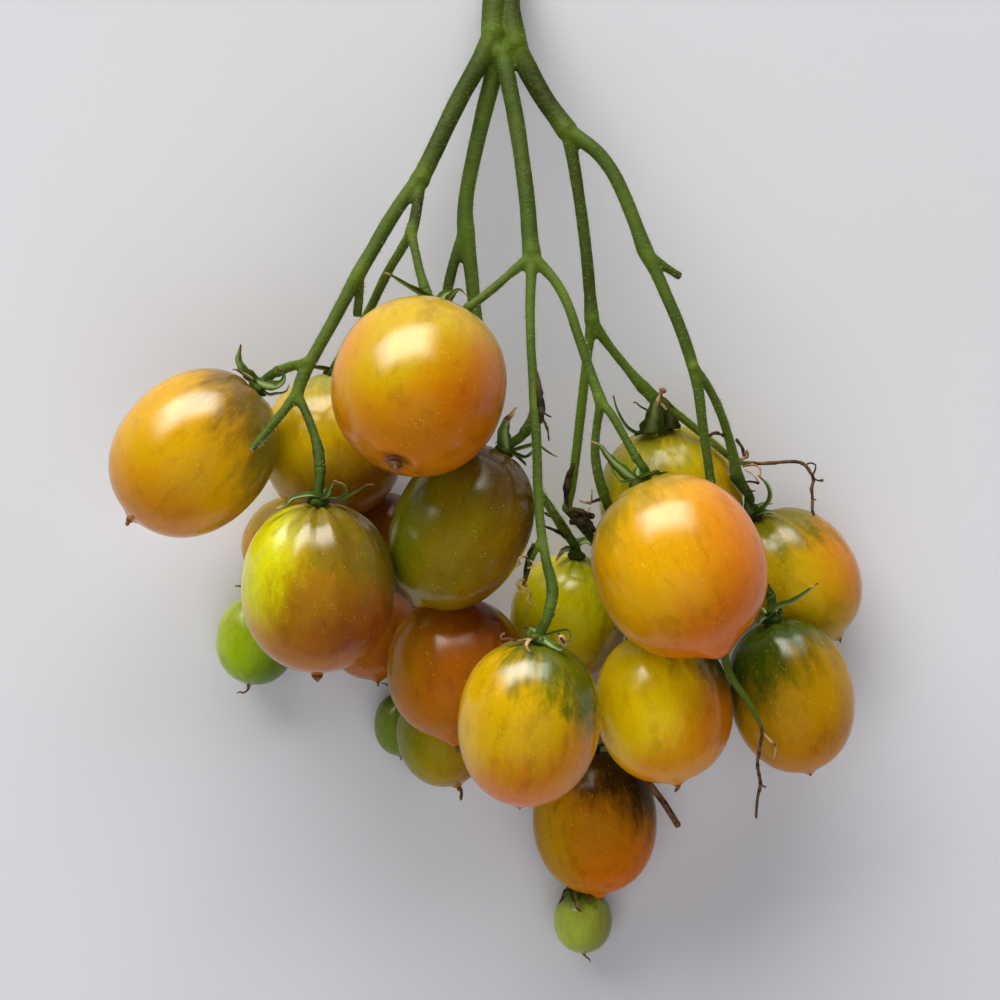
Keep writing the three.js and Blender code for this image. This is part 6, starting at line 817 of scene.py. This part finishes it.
def stem_material(name, dark=False):
    g = Graph(name)
    co = g.node("ShaderNodeTexCoord").outputs["Object"]
    pale = g.attr("pale").outputs["Fac"]
    dry = g.attr("dry").outputs["Fac"]
    cut = g.attr("cut").outputs["Fac"]
    rear = g.attr("rear").outputs["Fac"]
    base = g.mix(g.ramp(g.noise(co, 55.0, 3.0), 0.3, 0.7), srgb(62, 80, 24), srgb(87, 106, 38))
    # painted shade: branches that lie in shade are darkened towards a dark olive
    base = g.mix(g.math("MULTIPLY", rear, 0.95), base, srgb(40, 46, 12))
    # paler green at the joints, and painted light on low branches that lie in the fruits' shade
    base = g.mix(g.math("MULTIPLY", pale, 0.55), base, srgb(96, 118, 26))
    speck = g.voronoi(co, 900.0)
    base = g.mix(g.ramp(speck.outputs["Distance"], 0.22, 0.08, to=(0.0, 0.16)), base, srgb(150, 168, 96))
    spot = g.ramp(g.noise(co, 170.0, 2.0), 0.66, 0.74, to=(0.0, 0.75))
    base = g.mix(spot, base, srgb(50, 58, 22))
    ring = g.ramp(g.noise(g.vmath("MULTIPLY", co, (1.0, 3.2, 3.2)), 380.0, 3.0, 0.6), 0.35, 0.7, to=(0.0, 0.10))
    base = g.mix(ring, base, srgb(130, 150, 70))
    brown = g.mix(g.ramp(g.noise(co, 500.0, 3.0), 0.35, 0.7), srgb(56, 40, 28), srgb(124, 92, 62))
    brown = g.mix(g.attr("tan").outputs["Fac"], brown, g.mix(g.ramp(g.noise(co, 400.0, 3.0), 0.35, 0.65), srgb(116, 78, 50), srgb(204, 168, 122)))
    brown = g.mix(g.attr("dark").outputs["Fac"], brown, g.mix(g.ramp(g.noise(co, 380.0, 3.0), 0.35, 0.7), srgb(34, 28, 18), srgb(84, 68, 42)))
    base = g.mix(g.ramp(g.math("MULTIPLY_ADD", g.math("SUBTRACT", g.noise(co, 260.0), 0.5), 0.5, dry), 0.35, 0.65), base, brown)
    tan = g.mix(g.noise(co, 700.0, 3.0), srgb(176, 160, 96), srgb(118, 104, 58))
    base = g.mix(cut, base, tan)
    g.link(base, g.bsdf.inputs["Base Color"])
    g.link(g.math("MULTIPLY_ADD", dry, 0.2, 0.5), g.bsdf.inputs["Roughness"])
    g.bsdf.inputs["Specular IOR Level"].default_value = 0.03
    h = g.math("ADD", g.noise(co, 900.0, 3.0), g.math("MULTIPLY", g.noise(co, 260.0, 2.0), 1.2))
    g.link(g.bump(h, 0.35, 0.0004), g.bsdf.inputs["Normal"])
    return g.mat


def sepal_material():
    g = Graph("sepal_skin")
    co = g.node("ShaderNodeTexCoord").outputs["Object"]
    dry = g.attr("dry").outputs["Fac"]
    rib = g.attr("rib").outputs["Fac"]
    base = g.mix(g.ramp(g.noise(co, 160.0, 3.0), 0.3, 0.7), srgb(52, 72, 20), srgb(80, 102, 38))
    base = g.mix(g.math("MULTIPLY", rib, 0.6), base, srgb(168, 184, 118))
    spot = g.ramp(g.noise(co, 320.0, 2.0), 0.62, 0.72, to=(0.0, 0.7))
    base = g.mix(spot, base, srgb(58, 58, 30))
    speck = g.voronoi(co, 1100.0)
    base = g.mix(g.ramp(speck.outputs["Distance"], 0.25, 0.1, to=(0.0, 0.25)), base, srgb(168, 178, 116))
    brown = g.mix(g.ramp(g.noise(co, 420.0, 3.0), 0.35, 0.65), srgb(96, 66, 40), srgb(196, 160, 112))
    base = g.mix(g.ramp(g.math("MULTIPLY_ADD", g.math("SUBTRACT", g.noise(co, 300.0), 0.5), 0.7, dry), 0.4, 0.62), base, brown)
    base = g.mix(g.attr("dark").outputs["Fac"], base, g.mix(g.noise(co, 260.0, 3.0), srgb(34, 30, 16), srgb(74, 62, 34)))
    g.link(base, g.bsdf.inputs["Base Color"])
    g.bsdf.inputs["Roughness"].default_value = 0.62
    g.bsdf.inputs["Specular IOR Level"].default_value = 0.04
    h = g.noise(co, 700.0, 3.0)
    g.link(g.bump(h, 0.3, 0.0003), g.bsdf.inputs["Normal"])
    return g.mat


# ---- stalk ----
# painted shade of each branch, from 0 to 1; below zero it is painted light that makes the branch paler
PAINTED_SHADE = {"stalk_l": 0.79, "stalk_r": 1, "left_main": 0.72, "left_outer": 0.35, "left_stub_long": 0.16, "to_04": 0.48, "to_02": 0.13, "left_inner": 0.99, "to_01": 0.24, "rear_main": 0.25, "rear_side": 0.65, "middle_main": 0.51, "right_main": 1, "right_inner": 0.71, "right_cross": -0.5, "right_outer": 0.35, "right_stub": 0.33, "to_12": -0.3, "right_inner_low": -0.9, "to_13": -0.9, "dry_tip_front": -0.6, "to_03": -0.6}  # below zero: paler
DRY = {"dry_tip_front": (0.60, 0.70), "dry_tip_right": (0.02, 0.2), "dry_bud": (0.3, 0.8), "inner_stub": (0.2, 0.75), "right_stub": (0.8, 1.0), "left_stub_long": (0.97, 1.05), "left_stub_short": (0.9, 1.1)}


def build_stalk(material):
    parts, samples = [], []
    voxel = 0.48
    for name, pts in BRANCHES.items():
        a = np.array(pts, float)
        P, R, U = smooth_path(a[:, :3], a[:, 3], 1.2)
        rng = rng_of(abs(sum(map(ord, name))))
        thin = R.max() < 0.95
        if not thin:
            wob = np.interp(np.linspace(0, 1, len(P)), np.linspace(0, 1, 9), rng.uniform(0.96, 1.04, 9))
            R = R * wob
        else:
            R = np.maximum(R, 0.5)
        parts.append(tube_mesh(P, R, 12))
        if not name.startswith("stalk"):
            parts.append(ball_mesh(a[0, :3], a[0, 3] * 1.16))
        lo, hi = DRY.get(name, (2.0, 3.0))
        dry = np.clip((U - lo) / (hi - lo), 0, 1)
        rear = np.full(len(P), PAINTED_SHADE.get(name, 0.85 if name.startswith("inner") else 0.0))
        samples.append((P, R, dry, rear))
    V, F = joined(parts)
    me = bpy.data.meshes.new("stalk_raw")
    me.from_pydata([tuple(v * MM) for v in V], [], F)
    me.update()
    o = bpy.data.objects.new("stalk_raw", me)
    bpy.context.scene.collection.objects.link(o)
    m = o.modifiers.new("r", "REMESH")
    m.mode = "VOXEL"
    m.voxel_size = voxel * MM
    m.adaptivity = 0.0
    s = o.modifiers.new("s", "SMOOTH")
    s.factor = 0.5
    s.iterations = 4
    dg = bpy.context.evaluated_depsgraph_get()
    ev = o.evaluated_get(dg)
    new = bpy.data.meshes.new_from_object(ev)
    bpy.data.objects.remove(o)
    n = len(new.vertices)
    co = np.empty(n * 3, np.float32)
    new.vertices.foreach_get("co", co)
    co = co.reshape(-1, 3).astype(float) / MM
    co[:, 2] = np.maximum(co[:, 2], 0.0)
    # nearest centre line gives each point its dryness, painted shade and paleness
    SP = np.vstack([s[0] for s in samples])
    SR = np.concatenate([s[1] for s in samples])
    SD = np.concatenate([s[2] for s in samples])
    SB = np.concatenate([s[3] for s in samples])
    joints = np.array([np.array(p[0][:3]) for k, p in BRANCHES.items() if not k.startswith("stalk")])
    jr = np.array([p[0][3] for k, p in BRANCHES.items() if not k.startswith("stalk")])
    dry = np.zeros(n)
    rear = np.zeros(n)
    pale = np.zeros(n)
    for i in range(0, n, 4000):
        c = co[i : i + 4000]
        d = np.linalg.norm(c[:, None] - SP[None], axis=2) - SR[None]
        k = d.argmin(1)
        dry[i : i + 4000] = SD[k]
        # a soft blend of shade between the nearest lines
        w = np.exp(-((d - d.min(1)[:, None]) / 1.2) ** 2)
        rear[i : i + 4000] = (w * SB[None]).sum(1) / w.sum(1)
        dj = np.linalg.norm(c[:, None] - joints[None], axis=2)
        pale[i : i + 4000] = np.exp(-((dj / (jr[None] * 2.0)) ** 2)).max(1)
    # painted light: branches with painted shade below zero are made paler
    pale = np.maximum(pale, np.clip(-rear, 0, 1))
    rear = np.clip(rear, 0, 1)
    # keep the skin off the fruits
    for f in FRUITS:
        d = np.linalg.norm(co - np.array(f["centre"]), axis=1)
        near = np.where(d < f["half_length"] + 4)[0]
        if len(near) == 0:
            continue
        q = inside_q(f, co[near])
        hit = near[q < 0.05]
        for i in hit:
            co[i] = push_out(co[i], 0.05)
    new.vertices.foreach_set("co", (co * MM).astype(np.float32).reshape(-1))
    # cut ends: thick stalk and the long and short stubs on the left
    cut = np.zeros(n)
    for name, end in (("stalk_l", 0), ("stalk_r", 0), ("left_stub_long", -1), ("left_stub_short", -1), ("right_stub", -1)):
        a = np.array(BRANCHES[name], float)
        p = a[end, :3]
        q = a[1 if end == 0 else -2, :3]
        t = (p - q) / np.linalg.norm(p - q)
        rel = co - p
        on = (rel @ t > -0.35) & (np.linalg.norm(rel, axis=1) < a[end, 3] * 1.5)
        cut[on] = 1.0
    for k, v in (("dry", dry), ("rear", rear), ("pale", pale), ("cut", cut)):
        at = new.attributes.new(k, "FLOAT", "POINT")
        at.data.foreach_set("value", v.astype(np.float32))
    new.materials.clear()
    new.materials.append(material)
    new.shade_smooth()
    new.update()
    o = bpy.data.objects.new("stalk", new)
    bpy.context.scene.collection.objects.link(o)
    return o, samples


# ---- calyxes ----
def sepal_mesh(s, hub, axis, rim, seed):
    """A thin cupped blade along the centre line, with a raised midrib and a curled dry tip."""
    rng = rng_of(seed)
    pts = np.array(s["path"], float)
    away = pts[1] - pts[0]
    away -= axis * (away @ axis)
    if np.linalg.norm(away) > 0.2 and not s.get("free"):
        pts[0] = pts[0] + away / np.linalg.norm(away) * min(rim * 0.45, np.linalg.norm(pts[1] - pts[0]) * 0.45)
    P, W, U = smooth_path(pts, np.ones(len(pts)), 0.55)
    n = len(P)
    # small wander, growing to the tip
    a, b = rng.normal(size=3), rng.normal(size=3)
    P = P + (np.sin(U * 9 + rng.uniform(0, 6))[:, None] * a + np.sin(U * 15 + rng.uniform(0, 6))[:, None] * b) * (0.16 * U[:, None] ** 1.5)
    out = pts[2] - hub
    out -= axis * (out @ axis)
    side = np.cross(axis, out)
    side = side / np.linalg.norm(side) if np.linalg.norm(side) > 1e-3 else np.array((1.0, 0, 0))
    tan, fr = frames_along(P, side)
    if "face" in s:
        # the blade is turned to face this way all along
        face = np.array(s["face"], float)
        fr = []
        for t in tan:
            b = face - t * (face @ t)
            b /= np.linalg.norm(b)
            fr.append((np.cross(b, t), b))
    wmax = s.get("look", s["width"] * 1.25) / 2
    if s.get("kind") == "tri":
        shape = 1 - 0.94 * U**1.1
    else:
        shape = np.where(U < 0.3, 0.62 + 0.38 * np.sin(U / 0.3 * math.pi / 2), 1 - 0.90 * ((U - 0.3) / 0.7) ** 1.1)
    wid = np.maximum(wmax * shape, 0.16)
    roll = math.radians(s.get("turn", s["roll"])) + np.linspace(0, rng.uniform(-0.5, 0.7), n)
    if "face" in s:
        roll = np.linspace(-0.05, 0.15, n)
    cup = 0.28 * wid * (1 + 0.8 * U)
    V, rib, dry = [], [], []
    across = np.array([-1, -0.55, -0.12, 0.12, 0.55, 1.0])
    thick = 0.22
    for layer in (1, -1):
        for i in range(n):
            c, sn = math.cos(roll[i]), math.sin(roll[i])
            A = fr[i][0] * c + fr[i][1] * sn
            B = -fr[i][0] * sn + fr[i][1] * c
            for q in across:
                edge = 1 + 0.10 * math.sin(U[i] * 26 + q * 2 + seed)
                lift = cup[i] * (q * q) - (0.14 if abs(q) < 0.2 else 0.0)
                th = thick * (1 - 0.75 * abs(q)) * layer * (1 - 0.5 * U[i])
                V.append(P[i] + A * (q * wid[i] * edge) + B * (lift + th))
                rib.append(1.0 if abs(q) < 0.2 else 0.0)
                dry.append(np.clip((U[i] - s.get("dry", 0.86) + 0.06 * abs(q)) / 0.12, 0, 1))
    m = len(across)
    F = []
    off = n * m
    for i in range(n - 1):
        for j in range(m - 1):
            p = i * m + j
            F.append((p, p + 1, p + 1 + m, p + m))
            F.append((off + p, off + p + m, off + p + m + 1, off + p + 1))
    for i in range(n - 1):
        p = i * m
        F.append((p, p + m, off + p + m, off + p))
        p = i * m + m - 1
        F.append((p, off + p, off + p + m, p + m))
    for j in range(m - 1):
        F.append((j, off + j, off + j + 1, j + 1))
        p = (n - 1) * m + j
        F.append((p, p + 1, off + p + 1, off + p))
    V = np.array(V)
    return V, F, np.array(rib), np.array(dry)


def build_calyx(f, material):
    fid = f["id"]
    u, v, w = fruit_axes(f)
    top = np.array(f["centre"]) + w * f["half_length"]
    rim = 1.15 + 0.075 * f["radius"]
    sunk = SHAPE.get(fid, dict(dimple=0.04))["dimple"] * f["half_length"] * 0.6
    V, F, rib, dry, pale, dark, n = [], [], [], [], [], [], 0

    def add(v_, f_, r_, d_, p_, k_=0.0):
        nonlocal n
        V.append(v_)
        F.extend(tuple(i + n for i in q) for q in f_)
        rib.append(np.broadcast_to(r_, len(v_)))
        dry.append(np.broadcast_to(d_, len(v_)))
        pale.append(np.broadcast_to(p_, len(v_)))
        dark.append(np.broadcast_to(k_, len(v_)))
        n += len(v_)

    # hub: a low star with one lobe per sepal
    k, m = 30, 7
    ang = np.linspace(0, 2 * math.pi, k, endpoint=False)
    lobes = len(SEPALS[fid])
    hv, hf = [], []
    prof = [(0.0, -0.5), (0.8, -0.35), (1.05, 0.25), (0.95, 0.75), (0.7, 1.15), (0.5, 1.5), (0.0, 1.7)]
    for rr, hh in prof[1:-1]:
        for t in ang:
            star = 1 + (0.10 * math.cos(lobes * t) if rr > 0.6 else 0)
            hv.append(top + (u * math.cos(t) + v * math.sin(t)) * rim * rr * star + w * (hh - sunk * (0.6 if hh < 0.5 else 0)))
    for i in range(m - 3):
        for j in range(k):
            hf.append((i * k + j, i * k + (j + 1) % k, (i + 1) * k + (j + 1) % k, (i + 1) * k + j))
    low, high, last = len(hv), len(hv) + 1, (m - 3) * k
    hv += [top + w * (prof[0][1] - sunk * 0.6), top + w * prof[-1][1]]
    for j in range(k):
        hf.append((low, (j + 1) % k, j))
        hf.append((last + j, last + (j + 1) % k, high))
    add(np.array(hv), hf, 0.0, 0.0, 0.3)
    # pedicel with a flare at the hub and a swollen knuckle at the other end
    a = np.array(PEDICELS[fid], float)
    P, R, U = smooth_path(a[:, :3], a[:, 3], 0.6)
    R = R * (1 + 0.12 * np.exp(-((U / 0.10) ** 2)) + 0.35 * np.clip((U - 0.8) / 0.2, 0, 1) ** 2)
    R = R * (1 - 0.08 * np.exp(-(((U - 0.16) / 0.05) ** 2)))
    tan = P[1] - P[0]
    tan /= np.linalg.norm(tan)
    P = np.vstack([P[0] - tan * 0.75, P[0] - tan * 0.35, P])
    R = np.r_[R[0] * 0.72, R[0] * 0.95, R]
    tv, tf = tube_mesh(P, R, 12)
    add(tv, tf, 0.0, 0.0, 0.0)
    for i, s in enumerate(SEPALS[fid]):
        sv, sf, sr, sd = sepal_mesh(s, top, w, rim, int(fid) * 31 + i)
        add(sv, sf, sr, sd, 0.0, s.get("dark", 0.0))
    V = np.vstack(V)
    # no blade dips into a fruit or under the surface
    for g in FRUITS:
        d = np.linalg.norm(V - np.array(g["centre"]), axis=1)
        near = np.where(d < g["half_length"] + 3)[0]
        if len(near) == 0:
            continue
        q = inside_q(g, V[near])
        own = g["id"] == fid
        for i in near[q < 0.12]:
            if own and np.linalg.norm(V[i] - top) < rim * 1.3:
                continue
            V[i] = push_out(V[i], 0.12)
    V[:, 2] = np.maximum(V[:, 2], 0.05)
    return object_from("calyx_look_" + fid, V * MM, F, material, attrs=dict(rib=np.concatenate(rib), dry=np.concatenate(dry), pale=np.concatenate(pale), dark=np.concatenate(dark)))


# ---- hairs ----
def build_hairs(samples, material, count):
    """Short pale hairs standing on the branches, each a thin closed three-sided spike."""
    rng = rng_of(77)
    lens = np.array([np.linalg.norm(np.diff(s[0], axis=0), axis=1).sum() for s in samples])
    V, F = [], []
    n = 0
    for (P, R, dry, rear), L in zip(samples, lens):
        m = int(count * L / lens.sum())
        if R.mean() < 1.1:
            continue
        tan, fr = frames_along(P)
        for _ in range(m):
            i = rng.randint(1, len(P) - 1)
            a = rng.uniform(0, 2 * math.pi)
            d = fr[i][0] * math.cos(a) + fr[i][1] * math.sin(a)
            t = tan[i]
            base = P[i] + d * R[i] * 0.92 + t * rng.uniform(-0.5, 0.5)
            dirn = d + t * rng.uniform(-0.3, 0.5) + rng.normal(size=3) * 0.15
            dirn /= np.linalg.norm(dirn)
            ln = rng.uniform(0.4, 1.15)
            tip = base + dirn * ln
            if tip[2] < 0.05:
                continue
            e1 = np.cross(dirn, t)
            e1 /= max(np.linalg.norm(e1), 1e-6)
            e2 = np.cross(dirn, e1)
            r = rng.uniform(0.05, 0.085)
            V += [base + e1 * r, base - e1 * r * 0.5 + e2 * r * 0.87, base - e1 * r * 0.5 - e2 * r * 0.87, tip]
            F += [(n, n + 1, n + 3), (n + 1, n + 2, n + 3), (n + 2, n, n + 3), (n + 2, n + 1, n)]
            n += 4
    V = np.array(V)
    q = np.full(len(V), 9.0)
    for f in FRUITS:
        q = np.minimum(q, inside_q(f, V))
    bad = set(np.where(q < 0.1)[0] // 4)
    F = [f for f in F if f[0] // 4 not in bad and f[2] // 4 not in bad]
    keep = sorted({i for f in F for i in f})
    idx = {o: i for i, o in enumerate(keep)}
    return object_from("stem_hairs", V[keep] * MM, [tuple(idx[i] for i in f) for f in F], material, smooth=False)


def hair_material():
    g = Graph("hair_skin")
    co = g.node("ShaderNodeTexCoord").outputs["Object"]
    col = g.mix(g.noise(co, 300.0), srgb(166, 180, 116), srgb(120, 136, 70))
    g.link(col, g.bsdf.inputs["Base Color"])
    g.bsdf.inputs["Roughness"].default_value = 0.5
    return g.mat


def build_twigs(material):
    parts = []
    dry, tan, dark = [], [], []
    for i, t in enumerate(TWIGS):
        a = np.array(t["path"], float)
        rng = rng_of(900 + i)
        P, R, U = smooth_path(a[:, :3], a[:, 3], 0.8)
        P = P + np.interp(np.linspace(0, 1, len(P)), np.linspace(0, 1, 7), rng.uniform(-1, 1, 7))[:, None] * rng.normal(size=3) * 0.15 * (U[:, None] * (1 - U[:, None]) * 4)
        R = R * np.interp(np.linspace(0, 1, len(P)), np.linspace(0, 1, 13), rng.uniform(0.75, 1.25, 13))
        for part in (tube_mesh(P, R, 7), ball_mesh(P[-1], R[-1] * 1.35, n=7)):
            parts.append(part)
            dry.append(np.full(len(part[0]), 0.0 if t["kind"] == "green" else 1.0))
            tan.append(np.full(len(part[0]), 1.0 if t["kind"] == "tan" else 0.0))
            dark.append(np.full(len(part[0]), 1.0 if t["kind"] == "dark" else 0.0))
    V, F = joined(parts)
    V[:, 2] = np.maximum(V[:, 2], 0.1)
    z = np.zeros(len(V))
    return object_from("dry_twigs", V * MM, F, material, attrs=dict(dry=np.concatenate(dry), pale=z, rear=z, cut=z, tan=np.concatenate(tan), dark=np.concatenate(dark)))


# ---- build ----
for f in FRUITS:
    fid = f["id"]
    P, faces, fc = fruit_mesh(f)
    P, faces, fc, scar = add_scar(P, faces, fc, f, SCARS[fid])
    o = object_from("fruit_" + fid, P * MM, faces, fruit_material(fid), attrs=dict(scar=scar), vattrs=dict(fc=fc))
    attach(o, "root")
    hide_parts("tomato_" + fid)

stem_mat = stem_material("stem_skin")
stalk, samples = build_stalk(stem_mat)
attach(stalk, "root")
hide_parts("truss_stalk")

sepal_mat = sepal_material()
for f in FRUITS:
    o = build_calyx(f, sepal_mat)
    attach(o, "root")
    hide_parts("calyx_" + f["id"])

hairs = build_hairs(samples, hair_material(), 11000)
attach(hairs, "root")
twigs = build_twigs(stem_mat)
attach(twigs, "root")

# ---- surface, light, camera ----
floor_me = bpy.data.meshes.new("floor")
s = 2.5
floor_me.from_pydata([(-s, -s, 0), (s, -s, 0), (s, s, 0), (-s, s, 0)], [], [(0, 1, 2, 3)])
floor = bpy.data.objects.new("floor", floor_me)
bpy.context.scene.collection.objects.link(floor)
g = Graph("floor_paint")
co = g.node("ShaderNodeTexCoord").outputs["Object"]
tone = g.mix(g.ramp(g.noise(co, 3.0, 3.0), 0.3, 0.7), srgb(207, 207, 211), srgb(212, 211, 216))
g.link(tone, g.bsdf.inputs["Base Color"])
g.bsdf.inputs["Roughness"].default_value = 0.85
g.bsdf.inputs["Specular IOR Level"].default_value = 0.2
floor_me.materials.append(g.mat)

world = bpy.data.worlds.new("studio")
bpy.context.scene.world = world
world.use_nodes = True
wt = world.node_tree
bg = wt.nodes["Background"]
# brighter round the horizon and dim overhead, so that the skins keep their depth
wco = wt.nodes.new("ShaderNodeTexCoord")
wsep = wt.nodes.new("ShaderNodeSeparateXYZ")
wt.links.new(wco.outputs["Generated"], wsep.inputs[0])
wramp = wt.nodes.new("ShaderNodeMapRange")
wramp.interpolation_type = "SMOOTHSTEP"
wt.links.new(wsep.outputs[2], wramp.inputs[0])
wramp.inputs[1].default_value = 0.08
wramp.inputs[2].default_value = 0.62
wramp.inputs[3].default_value = 1.0
wramp.inputs[4].default_value = 0.12
wmul = wt.nodes.new("ShaderNodeMath")
wmul.operation = "MULTIPLY"
wt.links.new(wramp.outputs[0], wmul.inputs[0])
wmul.inputs[1].default_value = 0.26
wt.links.new(wmul.outputs[0], bg.inputs[1])
bg.inputs[0].default_value = (0.90, 0.91, 0.95, 1)


def soft_light(name, direction, distance, size, power, colour=(1, 1, 1)):
    d = Vector(direction).normalized()
    light = bpy.data.lights.new(name, "AREA")
    light.shape = "RECTANGLE"
    light.size, light.size_y = size
    light.energy = power
    light.color = colour
    o = bpy.data.objects.new(name, light)
    o.location = d * distance + Vector((0, 0, 0.05))
    o.rotation_euler = (-d).to_track_quat("-Z", "Y").to_euler()
    bpy.context.scene.collection.objects.link(o)
    return o


soft_light("key", (-0.24, 0.90, 0.46), 3.0, (4.2, 2.4), 162.0, (1.0, 0.99, 0.965)).visible_glossy = False
# soft light from the viewer's side, left out of the mirror images
soft_light("soft_fill", (-0.05, -0.50, 1.0), 3.0, (3.6, 3.6), 62.0, (0.97, 0.975, 1.0)).visible_glossy = False
# what the skins mirror of the key light: bright in the middle and fading to its edges
for i, (share, power) in enumerate(((1.0, 90.0), (0.80, 105.0), (0.60, 85.0))):
    gleam = soft_light("key_gleam_%d" % i, (-0.24, 0.90, 0.46), 2.9 - 0.02 * i, (4.0 * share, 2.4 * share), power, (1.0, 1.0, 0.98))
    gleam.visible_diffuse = False

cam_data = bpy.data.cameras.new("camera")
cam_data.sensor_width = 36.0
cam_data.lens = 36.0 / 2 / (125.0 / 810.0)
cam = bpy.data.objects.new("camera", cam_data)
cam.location = (OFFSET[0] * MM, OFFSET[1] * MM, 0.850)
cam.rotation_euler = (0, 0, 0)
bpy.context.scene.collection.objects.link(cam)
bpy.context.scene.camera = cam

vs = bpy.context.scene.view_settings
vs.view_transform = "Standard"
vs.look = "None"
vs.exposure = 0.0
vs.gamma = 1.0
